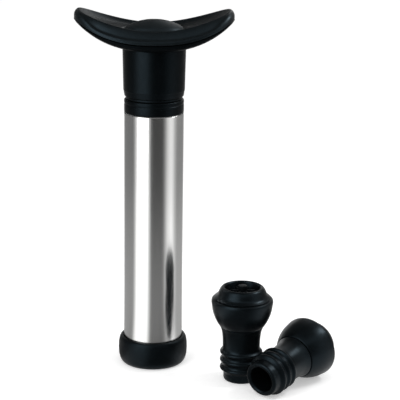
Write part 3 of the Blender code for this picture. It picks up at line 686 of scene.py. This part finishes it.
class PUMP_OT_foot(bpy.types.Operator):
    """Rubber foot with its socket for a stopper's crown"""
    bl_idname = "pump.foot"
    bl_label = "Foot"

    def execute(self, context):
        widest = (FOOT_RADIUS, FOOT_WIDEST_HEIGHT)
        rim = (FOOT_RIM_RADIUS, FOOT_HEIGHT)
        pocket = SLEEVE_RADIUS + FIT
        outline = [(SOCKET_MOUTH_RADIUS, 0.0), (FOOT_BASE_RADIUS, 0.0)]
        outline += bend((FOOT_BASE_RADIUS, 0.0), (FOOT_RADIUS, 0.0), widest)
        outline += bend(widest, (FOOT_RADIUS, FOOT_HEIGHT), rim)
        outline += [(pocket, FOOT_HEIGHT), (pocket, FOOT_SEAT_HEIGHT), (SOCKET_RADIUS, FOOT_SEAT_HEIGHT)]
        outline += [(SOCKET_RADIUS, SOCKET_MOUTH_DEPTH)]
        outline = eased(outline, context.scene.pump_sizes.edge_round / 2)
        foot = turned("rubber_foot", outline, (PUMP_X, PUMP_Y, 0.0))
        placed(foot, "barrel", finishes()["foot rubber"], "black_rubber", "foot_ring")
        return {"FINISHED"}


class PUMP_OT_collar(bpy.types.Operator):
    """Collar at the barrel's upper end and the rubber ring that the handle lands on"""
    bl_idname = "pump.collar"
    bl_label = "Collar"

    def execute(self, context):
        ease = context.scene.pump_sizes.edge_round
        low, top = RING_LOW - LANDING_SEAT, RING_TOP + LANDING_SEAT
        ring = [(LANDING_BORE, low), (LANDING_RADIUS, low), (LANDING_RADIUS, top), (LANDING_BORE, top)]
        landing = turned("landing_rubber", eased(ring, ease), (PUMP_X, PUMP_Y, 0.0))
        placed(landing, "barrel", finishes()["foot rubber"], "black_rubber", "landing_ring")
        band = turned("collar_band", eased(self.outline(), ease * 1.5), (PUMP_X, PUMP_Y, 0.0))
        placed(band, "barrel", finishes()["satin black plastic"], "black_plastic", "top_collar")
        return {"FINISHED"}

    def outline(self):
        """Half outline of the collar, with its plug in the cylinder and its seat for the rod's bush."""
        low, top = SLEEVE_TOP + FIT, RING_LOW - FIT
        groove = low + COLLAR_GROOVE_HEIGHT
        ledge = top - COLLAR_SHOULDER_DEPTH
        points = [(COLLAR_SEAT_RADIUS, low - COLLAR_SPIGOT), (SPIGOT_RADIUS, low - COLLAR_SPIGOT)]
        points += [(SPIGOT_RADIUS, low), (COLLAR_RADIUS, low), (COLLAR_RADIUS, groove)]
        points += [(COLLAR_RADIUS - COLLAR_GROOVE_DEPTH, groove + COLLAR_GROOVE_WIDTH / 2)]
        points += [(COLLAR_RADIUS, groove + COLLAR_GROOVE_WIDTH), (COLLAR_RADIUS, top)]
        points += [(COLLAR_SHOULDER_RADIUS, top), (COLLAR_SHOULDER_RADIUS, ledge)]
        points += [(COLLAR_SEAT_RADIUS, ledge)]
        return points


class PUMP_OT_rod(bpy.types.Operator):
    """Ground steel rod between the piston and the handle"""
    bl_idname = "pump.rod"
    bl_label = "Rod"

    def execute(self, context):
        outline = [(ROD_BORE, ROD_LOW), (ROD_RADIUS, ROD_LOW), (ROD_RADIUS, ROD_TOP), (ROD_BORE, ROD_TOP)]
        rod = turned("ground_rod", eased(outline, SLEEVE_ROLL), (PUMP_X, PUMP_Y, 0.0))
        placed(rod, "handle", finishes()["ground rod steel"], "rod_steel", "piston_rod")
        return {"FINISHED"}


class PUMP_OT_neck(bpy.types.Operator):
    """Neck of the handle, whose upper end follows the wing's underside"""
    bl_idname = "pump.neck"
    bl_label = "Neck"

    def execute(self, context):
        top = NECK_LOW + NECK_HEIGHT
        line = NECK_LOW + NECK_TAPER_HEIGHT
        outline = [(NECK_BORE, NECK_LOW), (NECK_RADIUS - NECK_TAPER, NECK_LOW)]
        outline += [(NECK_RADIUS - NECK_LINE, line), (NECK_RADIUS, line + NECK_LINE)]
        outline += [(NECK_TOP_RADIUS, top), (NECK_BORE, top)]
        outline = eased(outline, context.scene.pump_sizes.edge_round)
        neck = turned("neck_sleeve", outline, (PUMP_X, PUMP_Y, 0.0))
        for vert in neck.data.vertices:
            share = (vert.co.z - top + NECK_BLEND) / NECK_BLEND
            if share > 0.0:
                vert.co.z += underside(vert.co.x - PUMP_X) * min(share, 1.0)
        placed(neck, "handle", finishes()["satin black plastic"], "black_plastic", "neck_shell")
        return {"FINISHED"}


def shell_rings():
    """The rings of the wing's hard shell, from the bolt's hole over its top and round its underside."""
    dome_hole = plan_ring(DOME_HALF_SPAN + FIT, DOME_HALF_DEPTH + FIT, 2)
    outer = plan_ring(WING_HALF_SPAN, WING_HALF_DEPTH, PLAN_POWER)
    tucked = plan_ring(WING_HALF_SPAN - SHELL_TUCK, WING_HALF_DEPTH - SHELL_TUCK, PLAN_POWER)
    hole = plan_ring(ROD_BORE, ROD_BORE, 2)
    neck = plan_ring(NECK_TOP_RADIUS, NECK_TOP_RADIUS, 2)

    def top(x):
        return parting(x) - FIT

    rings = [raised(hole, underside), raised(hole, top), raised(dome_hole, top)]
    rings += [raised(between(dome_hole, outer, share), top) for share in SHELL_SEAT_SHARES]
    for step in range(1, BEND_STEPS + 1):
        angle = pi / 2 * step / BEND_STEPS
        ring = between(outer, tucked, 1 - cos(angle))
        rings.append(raised(ring, lambda x, a=angle: top(x) + (underside(x) - top(x)) * sin(a)))
    rings += [raised(between(tucked, neck, share), underside) for share in SEAT_SHARES]
    rings += [raised(neck, underside), raised(between(neck, hole, HALFWAY), underside)]
    return rings


def pad_rings():
    """The rings of the wing's soft pad, from the dome's hole over the dishes, crest and lip."""
    hole = plan_ring(DOME_HALF_SPAN + FIT, DOME_HALF_DEPTH + FIT, 2)
    outer = plan_ring(WING_HALF_SPAN, WING_HALF_DEPTH, PLAN_POWER)
    ridge = plan_ring(WING_HALF_SPAN - CREST_END_INSET, WING_HALF_DEPTH - CREST_SIDE_INSET, PLAN_POWER)
    brow = plan_ring(WING_HALF_SPAN - PAD_LIP, WING_HALF_DEPTH - PAD_LIP, PLAN_POWER)
    rings = [raised(hole, parting)]
    for share in DISH_SHARES:

        def dish(x, part=(1 - share ** DISH_POWER) ** DISH_EASE, moat=DOME_MOAT if share == 0.0 else 0.0):
            full = min(1.0, abs(x) / WING_HALF_SPAN / DISH_FULL_SHARE)
            return crest(x) - DISH_DEPTH * part * (DISH_MIDDLE_SHARE + (1 - DISH_MIDDLE_SHARE) * full) - moat

        rings.append(raised(between(hole, ridge, share), dish))
    brow_share = 1 - PAD_LIP / CREST_END_INSET
    for share in FLANK_SHARES:

        def flank(x, drop=share ** FLANK_POWER, along=share * brow_share):
            return rolled(x, crest(x) + (edge_top(x) - crest(x)) * drop, along)

        rings.append(raised(between(ridge, brow, share), flank))
    for share in LIP_SHARES:
        angle = pi / 2 * share

        def lip(x, drop=1 - cos(angle), along=brow_share + (1 - brow_share) * sin(angle)):
            return rolled(x, edge_top(x) - PAD_LIP * drop, along)

        rings.append(raised(between(brow, outer, sin(angle)), lip))
    rings += [raised(between(brow, outer, 1.0), parting)]
    rings += [raised(between(outer, hole, share), parting) for share in PAD_SEAT_SHARES]
    return rings


def dome_rings():
    """The rings of the domed cap, from near its top over its rim and back up inside it."""
    plan = plan_ring(DOME_HALF_SPAN, DOME_HALF_DEPTH, 2)
    inside = plan_ring(DOME_HALF_SPAN - DOME_WALL, DOME_HALF_DEPTH - DOME_WALL, 2)
    inset = between(plan, inside, DOME_EDGE / DOME_WALL)
    middle = [(0.0, 0.0)] * WING_STEPS

    def dome(share, drop):
        height = DOME_HEIGHT - DOME_FALL * share ** DOME_POWER - drop
        return lambda x: height

    rings = [raised(between(middle, plan, share), dome(share, 0.0)) for share in DOME_SHARES]
    rings += [raised(inset, dome(1.0, 0.0)), raised(plan, dome(1.0, DOME_EDGE))]
    rings += [raised(plan, parting), raised(inside, parting), raised(inside, dome(1.0, DOME_WALL))]
    for share in reversed(DOME_SHARES):
        rings.append(raised(between(middle, inside, share), dome(share, DOME_WALL)))
    return rings


class PUMP_OT_wing(bpy.types.Operator):
    """Saddle-shaped wing: a hard shell, the soft pad with its finger dishes and the domed cap"""
    bl_idname = "pump.wing"
    bl_label = "Wing"

    def execute(self, context):
        centre = (PUMP_X, PUMP_Y, WING_Z)
        shell = lofted("wing_underside", shell_rings(), centre)
        # The shell's darker plastic paints the shade under the wing
        placed(shell, "handle", finishes()["shaded shell plastic"], "black_plastic", "wing_shell")
        pad = softened(lofted("wing_pad", pad_rings(), centre))
        placed(pad, "handle", finishes()["soft touch pad"], "pad_rubber", "palm_pad")
        cap = lofted("wing_dome", dome_rings(), centre, closed=False)
        placed(cap, "handle", finishes()["dome plastic"], "dome_plastic", "dome_cap")
        return {"FINISHED"}


def head_outline():
    """Half outline of a stopper's head, from the recess's floor over the crown to the stem's top."""
    floor = STOPPER_HEIGHT - RECESS_DEPTH
    crown = (CROWN_RADIUS, STOPPER_HEIGHT)
    waist = (WAIST_RADIUS, WAIST_HEIGHT)
    flare = (FLARE_RADIUS, FLARE_HEIGHT)
    lip = (FLARE_RADIUS + CREASE_LIP, FLARE_HEIGHT - CREASE_WIDTH)
    band_top = (BAND_RADIUS, BAND_TOP_HEIGHT)
    band_low = (BAND_LOW_RADIUS, BAND_LOW_HEIGHT)
    underneath = (STEM_TOP_RADIUS + CREASE_LIP, STEM_TOP_HEIGHT + CREASE_WIDTH)
    outline = [(0.0, floor), (RECESS_FLOOR_RADIUS, floor), (RECESS_RADIUS, STOPPER_HEIGHT - RECESS_EDGE)]
    outline += [(RECESS_RADIUS + RECESS_EDGE, STOPPER_HEIGHT), crown]
    outline += bend(crown, (SHOULDER_RADIUS, STOPPER_HEIGHT), waist)
    outline += bend(waist, (FLARE_PULL_RADIUS, FLARE_PULL_HEIGHT), flare)
    outline += [(FLARE_RADIUS - CREASE_DEPTH, lip[1] + CREASE_WIDTH / 2), lip]
    outline += bend(lip, (BAND_RADIUS, lip[1]), band_top)
    outline.append(band_low)
    outline += bend(band_low, (SWELL_RADIUS, SWELL_HEIGHT), underneath)
    outline += [(STEM_TOP_RADIUS - CREASE_DEPTH, underneath[1]), (STEM_TOP_RADIUS, STEM_TOP_HEIGHT)]
    return outline


def plug_outline():
    """Half outline of a stopper's stem, ribs and plug, and of the bore up the middle."""
    stem_top = (STEM_TOP_RADIUS, STEM_TOP_HEIGHT)
    outline = bend(stem_top, (STEM_RADIUS, STEM_SWELL_HEIGHT), (STEM_RADIUS, STEM_LOW_HEIGHT))
    for index in reversed(range(RIB_COUNT)):
        height = FIRST_RIB_HEIGHT + RIB_PITCH * index
        outline += [(RIB_GROOVE_RADIUS, height + RIB_HALF_WIDTH), (RIB_RADIUS, height + RIB_HALF_WIDTH / 3)]
        outline += [(RIB_RADIUS, height - RIB_HALF_WIDTH / 3), (RIB_GROOVE_RADIUS, height - RIB_HALF_WIDTH)]
    end = (PLUG_RADIUS - PLUG_ROUND, 0.0)
    outline += [(PLUG_RADIUS, PLUG_LENGTH), (PLUG_RADIUS, PLUG_ROUND)]
    outline += bend((PLUG_RADIUS, PLUG_ROUND), (PLUG_RADIUS, 0.0), end)
    outline += [(BORE_RADIUS + BORE_EDGE, 0.0), (BORE_RADIUS, BORE_EDGE)]
    outline += [(BORE_RADIUS, BORE_DEPTH), (0.0, BORE_DEPTH)]
    return outline


def fin(inner, outer, low, high, turn):
    """An upright fin with bevelled edges, which stands out from the origin's axis, turned round it."""
    nothing_selected()
    middle = ((inner + outer) / 2, 0.0, (low + high) / 2)
    bpy.ops.mesh.primitive_cube_add(size=FIN_BLANK, location=middle)
    piece = bpy.context.object
    bpy.ops.transform.resize(value=(outer - inner, VALVE_FIN_WIDTH, high - low))
    bpy.ops.object.transform_apply(location=True, rotation=True, scale=True)
    bpy.ops.object.mode_set(mode="EDIT")
    bpy.ops.mesh.select_all(action="SELECT")
    bpy.ops.mesh.bevel(offset=FIT, segments=FIN_BEVELS)
    bpy.ops.object.mode_set(mode="OBJECT")
    piece.matrix_world = Matrix.Rotation(turn, 4, "Z")
    return piece


def joined(piece, part):
    """Makes a part one with a piece, and takes the part away."""
    made_active(piece)
    change = piece.modifiers.new("Joined", "BOOLEAN")
    change.operation = "UNION"
    change.solver = "EXACT"
    change.object = part
    bpy.ops.object.modifier_apply(modifier=change.name)
    bpy.data.objects.remove(part, do_unlink=True)


def valve_pattern(fins):
    """The ribbed valve insert, upright on the origin's axis at its height in a standing stopper."""
    seat = STOPPER_HEIGHT - RECESS_DEPTH + FIT
    rim = RECESS_FLOOR_RADIUS - FIT
    outline = [(0.0, seat), (rim, seat), (rim, seat + VALVE_BASE), (VALVE_POST_RADIUS, seat + VALVE_BASE)]
    outline += [(VALVE_POST_RADIUS, seat + VALVE_POST_HEIGHT), (0.0, seat + VALVE_POST_HEIGHT)]
    post = turned("valve_pattern", eased(outline, FIT, closed=False), (0.0, 0.0, 0.0), closed=False)
    inner, outer = VALVE_POST_RADIUS / 2, rim - VALVE_FIN_WIDTH
    low, high = seat + VALVE_BASE / 2, seat + VALVE_FIN_HEIGHT
    for index in range(fins):
        joined(post, fin(inner, outer, low, high, 2 * pi * index / fins))
    return smoothed(post)


def copied(pattern, name, place):
    """A copy of a pattern with its own mesh, set at its place in the frame."""
    made_active(pattern)
    bpy.ops.object.duplicate()
    piece = bpy.context.object
    piece.name = name
    piece.matrix_world = place
    bpy.ops.object.transform_apply(location=True, rotation=True, scale=True)
    return piece


class PUMP_OT_stoppers(bpy.types.Operator):
    """The two rubber stoppers, each with its ribbed valve insert"""
    bl_idname = "pump.stoppers"
    bl_label = "Stoppers"

    def execute(self, context):
        sizes = context.scene.pump_sizes
        outline = eased(head_outline(), SLEEVE_ROLL, closed=False)
        outline += eased(plug_outline(), sizes.rib_round, closed=False)
        rubber = turned("stopper_pattern", outline, (0.0, 0.0, 0.0), closed=False)
        valve = valve_pattern(sizes.fins)
        standing = Matrix.Translation((STANDING_X, STANDING_Y, 0.0))
        turn = Matrix.Rotation(LYING_HEADING, 4, "Z") @ Matrix.Rotation(pi / 2 - LYING_LEAN, 4, "Y")
        lying = Matrix.Translation((PUMP_X + LYING_X, PUMP_Y + LYING_Y, LYING_Z)) @ turn
        for way, place in (("standing", standing), ("lying", lying)):
            body = way + "_stopper"
            stopper = copied(rubber, way + "_rubber", place)
            placed(stopper, body, finishes()["stopper rubber"], "stopper_rubber", way + "_stopper")
            insert = copied(valve, way + "_insert", place)
            placed(insert, body, finishes()["valve rubber"], "valve_rubber", way + "_valve")
        bpy.data.objects.remove(rubber, do_unlink=True)
        bpy.data.objects.remove(valve, do_unlink=True)
        return {"FINISHED"}


class PUMP_OT_inner_pieces(bpy.types.Operator):
    """Finishes of the pieces inside the barrel and the handle, which keep their shape"""
    bl_idname = "pump.inner_pieces"
    bl_label = "Inner pieces"

    def execute(self, context):
        looks = finishes()
        dressed = {
            "natural moulded plastic": ("cylinder_liner", "rod_bush", "handle_core"),
            "satin black plastic": ("nozzle_plate", "piston"),
            "foot rubber": ("nozzle_seal", "stroke_buffer", "piston_ring"),
            "ground rod steel": ("rod_washer", "piston_bolt", "handle_bolt", "handle_washer"),
            "turned brass": ("lower_rod_insert", "upper_rod_insert"),
        }
        for look, nodes in dressed.items():
            for node in nodes:
                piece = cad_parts[node]
                for slot in piece.material_slots:
                    slot.material = looks[look]
        return {"FINISHED"}


def lamp(name, place, width, height, power):
    """A soft upright lamp that faces the pump, which the camera doesn't see."""
    data = bpy.data.lights.new(name, "AREA")
    data.shape = "RECTANGLE"
    data.size = width
    data.size_y = height
    data.energy = power
    made = bpy.data.objects.new(name, data)
    made.location = place
    aim = Vector((PUMP_X, PUMP_Y, place[2]))
    made.rotation_euler = (aim - Vector(place)).to_track_quat("-Z", "Y").to_euler()
    made.visible_camera = False
    bpy.context.scene.collection.objects.link(made)
    return made


def round_the_pump(azimuth, distance, height):
    """A point at an azimuth round the pump, from the camera's side and to the right of it."""
    angle = radians(azimuth)
    return (PUMP_X + distance * sin(angle), PUMP_Y - distance * cos(angle), height)


def calculated(tree, operation, first, second):
    """What a Math node makes of two links, or of a link and a number."""
    node = tree.nodes.new("ShaderNodeMath")
    node.operation = operation
    for socket, value in zip(node.inputs, (first, second)):
        if isinstance(value, float):
            socket.default_value = value
        else:
            tree.links.new(value, socket)
    return node.outputs["Value"]


def looked_at(tree):
    """1 where the camera, a reflection or a see-through surface looks, and 0 where only light falls."""
    path = tree.nodes.new("ShaderNodeLightPath").outputs
    seen = calculated(tree, "MAXIMUM", path["Is Camera Ray"], path["Is Glossy Ray"])
    return calculated(tree, "MAXIMUM", seen, path["Is Transmission Ray"])


def floor_finish():
    """Pale paper, which keeps the object's shadow and looks white."""
    look, tree, shader = plain_finish("pale paper", PAPER_TONE, PAPER_ROUGHNESS, gloss=PAPER_GLOSS)
    lift = calculated(tree, "MULTIPLY", looked_at(tree), FLOOR_LIFT)
    shader.inputs["Emission Color"].default_value = WHITE
    tree.links.new(lift, shader.inputs["Emission Strength"])
    return look


def painted_grey_at_azimuth(tree, place):
    """The sweep's grey at an azimuth round the pump, a painted reflection of softboxes and dark surroundings.
    """
    azimuth = tree.nodes.new("ShaderNodeTexGradient")
    azimuth.gradient_type = "RADIAL"
    tree.links.new(place, azimuth.inputs["Vector"])
    ramp = tree.nodes.new("ShaderNodeValToRGB")
    stops = ramp.color_ramp.elements
    while len(stops) < len(PAINTED_REFLECTION_GREYS):
        stops.new(HALFWAY)
    for stop, (angle, grey) in zip(stops, PAINTED_REFLECTION_GREYS):
        stop.position = angle / FULL_TURN + HALFWAY
        stop.color = (grey, grey, grey, 1.0)
    tree.links.new(azimuth.outputs["Fac"], ramp.inputs["Fac"])
    return ramp.outputs["Color"]


def painted_grey_near_foot(tree, place):
    """What the sweep's grey gains near the pump's foot: painted light in the reflections there."""
    distance = tree.nodes.new("ShaderNodeVectorMath")
    distance.operation = "LENGTH"
    tree.links.new(place, distance.inputs[0])
    return between_values(tree, distance.outputs["Value"], SWEEP_NEAR_PAINTED_GREY, 0.0, SWEEP_NEAR, SWEEP_FAR)


def painted_reflection_finish():
    """Paper in greys that change with the azimuth round the pump, a little paler near its foot, and glowing:
    painted reflections of light and shade, lit by the lamps as well.
    """
    look, tree, shader = plain_finish("painted reflection paper", PAPER_TONE, PAPER_ROUGHNESS, gloss=PAPER_GLOSS)
    where = tree.nodes.new("ShaderNodeTexCoord")
    mapping = tree.nodes.new("ShaderNodeMapping")
    mapping.vector_type = "TEXTURE"
    mapping.inputs["Location"].default_value = (PUMP_X, PUMP_Y, 0.0)
    mapping.inputs["Rotation"].default_value = (0.0, 0.0, SWEEP_TURN)
    tree.links.new(where.outputs["Object"], mapping.inputs["Vector"])
    place = mapping.outputs["Vector"]
    # Painted reflection greys, with painted light near the foot
    grey = calculated(tree, "ADD", painted_grey_at_azimuth(tree, place), painted_grey_near_foot(tree, place))
    tree.links.new(grey, shader.inputs["Base Color"])
    tree.links.new(grey, shader.inputs["Emission Color"])
    # The paper glows in its greys, painted light for the reflections
    shader.inputs["Emission Strength"].default_value = SWEEP_PAINTED_GLOW
    return look


def only_reflected(card, finish):
    """Keeps a card of the stage for reflections: it's neither seen nor shades anything."""
    card.data.materials.append(finish)
    card.visible_camera = False
    card.visible_diffuse = False
    card.visible_shadow = False
    card.visible_transmission = False
    return card


def disc(name, radius, place):
    """A level round sheet of the stage."""
    nothing_selected()
    bpy.ops.mesh.primitive_circle_add(vertices=TURN_STEPS, radius=radius, fill_type="NGON", location=place)
    sheet = bpy.context.object
    sheet.name = name
    return sheet


def ring_card(name, low, high, path, finish):
    """Part of a ring round the pump between two azimuths, spun from a path of (distance, height)."""
    places = [Vector(round_the_pump(low, distance, height)) for distance, height in path]
    nothing_selected()
    bpy.ops.mesh.primitive_plane_add(size=FIT, location=places[0])
    card = bpy.context.object
    card.name = name
    bpy.ops.object.mode_set(mode="EDIT")
    bpy.ops.mesh.merge(type="CENTER")
    for here, there in zip(places, places[1:]):
        bpy.ops.mesh.extrude_region_move(TRANSFORM_OT_translate={"value": there - here})
    bpy.ops.mesh.select_all(action="SELECT")
    centre = (PUMP_X, PUMP_Y, 0.0)
    bpy.ops.mesh.spin(steps=TURN_STEPS, angle=radians(high - low), center=centre, axis=(0.0, 0.0, -1.0))
    bpy.ops.object.mode_set(mode="OBJECT")
    bpy.ops.object.transform_apply(location=True, rotation=True, scale=True)
    return only_reflected(card, finish)


def cards():
    """Paper of painted reflections round the pump, and dark flags over the set and behind the wing, for
    reflections only.
    """
    sweep = [(SWEEP_INNER, FIT), (SWEEP_OUTER, FIT), (SWEEP_OUTER, SWEEP_RISE)]
    ring_card("painted_reflection_sweep", PAINTED_REFLECTION_GREYS[0][0], PAINTED_REFLECTION_GREYS[-1][0], sweep, painted_reflection_finish())
    cloth = plain_finish("flag cloth", CLOTH_TONE, PAPER_ROUGHNESS, gloss=0.0)[0]
    behind = [(BACK_FLAG_DISTANCE, BACK_FLAG_LOW), (BACK_FLAG_DISTANCE, BACK_FLAG_TOP)]
    ring_card("back_flag", BACK_FLAG_START, BACK_FLAG_END, behind, cloth)
    flag = disc("top_flag", FLAG_RADIUS, (PUMP_X, PUMP_Y, FLAG_HEIGHT))
    only_reflected(flag, cloth)


def white_world():
    """White where it is seen, and a plain fill on the object."""
    world = bpy.data.worlds.new("Pale studio")
    world.use_nodes = True
    tree = world.node_tree
    tree.nodes.clear()
    fill = tree.nodes.new("ShaderNodeBackground")
    fill.inputs["Color"].default_value = WHITE
    fill.inputs["Strength"].default_value = FILL_STRENGTH
    white = tree.nodes.new("ShaderNodeBackground")
    white.inputs["Color"].default_value = WHITE
    chosen = tree.nodes.new("ShaderNodeMixShader")
    out = tree.nodes.new("ShaderNodeOutputWorld")
    tree.links.new(looked_at(tree), chosen.inputs["Fac"])
    tree.links.new(fill.outputs["Background"], chosen.inputs[1])
    tree.links.new(white.outputs["Background"], chosen.inputs[2])
    tree.links.new(chosen.outputs["Shader"], out.inputs["Surface"])
    return world


def photograph_camera():
    """The camera, which sees the set from the photograph's side and height."""
    data = bpy.data.cameras.new("photograph")
    data.lens = CAMERA_LENS
    data.sensor_width = SENSOR_WIDTH
    data.clip_end = CAMERA_REACH
    camera = bpy.data.objects.new("photograph", data)
    bpy.context.scene.collection.objects.link(camera)
    place = Matrix.Translation((PUMP_X, PUMP_Y - CAMERA_DISTANCE, CAMERA_HEIGHT))
    aside = Matrix.Rotation(CAMERA_HEADING, 4, "Z")
    turn = Matrix.Rotation(CAMERA_PITCH, 4, "X") @ Matrix.Rotation(CAMERA_ROLL, 4, "Z")
    camera.matrix_world = place @ aside @ turn
    return camera


class PUMP_OT_stage(bpy.types.Operator):
    """Pale floor, soft studio light and the camera"""
    bl_idname = "pump.stage"
    bl_label = "Stage"

    def execute(self, context):
        floor = disc("pale_floor", FLOOR_RADIUS, (0.0, 0.0, 0.0))
        floor.data.materials.append(floor_finish())
        cards()
        for name, azimuth, distance, height, width, tall, power in LAMPS:
            place = round_the_pump(azimuth, distance, height)
            lamp(name, place, width, tall, power * context.scene.pump_sizes.light)
        context.scene.world = white_world()
        context.scene.camera = photograph_camera()
        context.scene.view_settings.view_transform = "Standard"
        return {"FINISHED"}


STEPS = ("stage", "barrel", "foot", "collar", "rod", "neck", "wing", "stoppers", "inner_pieces")


class PUMP_PT_pieces(bpy.types.Panel):
    """Lists the set's pieces and the values that they are made from"""
    bl_idname = "PUMP_PT_pieces"
    bl_label = "Wine pump"
    bl_space_type = "VIEW_3D"
    bl_region_type = "UI"
    bl_category = "Wine pump"

    def draw(self, context):
        for step in STEPS:
            self.layout.operator("pump." + step)
        for group in (context.scene.pump_sizes, context.scene.pump_tones):
            for key in group.bl_rna.properties.keys():
                if key not in ("rna_type", "name"):
                    self.layout.prop(group, key)


CLASSES = (PumpTones, PumpSizes, PUMP_OT_stage, PUMP_OT_barrel, PUMP_OT_foot, PUMP_OT_collar, PUMP_OT_rod,
           PUMP_OT_neck, PUMP_OT_wing, PUMP_OT_stoppers, PUMP_OT_inner_pieces, PUMP_PT_pieces)


def register():
    """Registers the classes and the values that they read."""
    for kind in CLASSES:
        bpy.utils.register_class(kind)
    bpy.types.Scene.pump_tones = PointerProperty(type=PumpTones)
    bpy.types.Scene.pump_sizes = PointerProperty(type=PumpSizes)


def unregister():
    """Takes them away again."""
    del bpy.types.Scene.pump_sizes
    del bpy.types.Scene.pump_tones
    for kind in reversed(CLASSES):
        bpy.utils.unregister_class(kind)


def main():
    """Makes every piece in turn."""
    register()
    for step in STEPS:
        getattr(bpy.ops.pump, step)()
    nothing_selected()


if __name__ == "__main__":
    main()
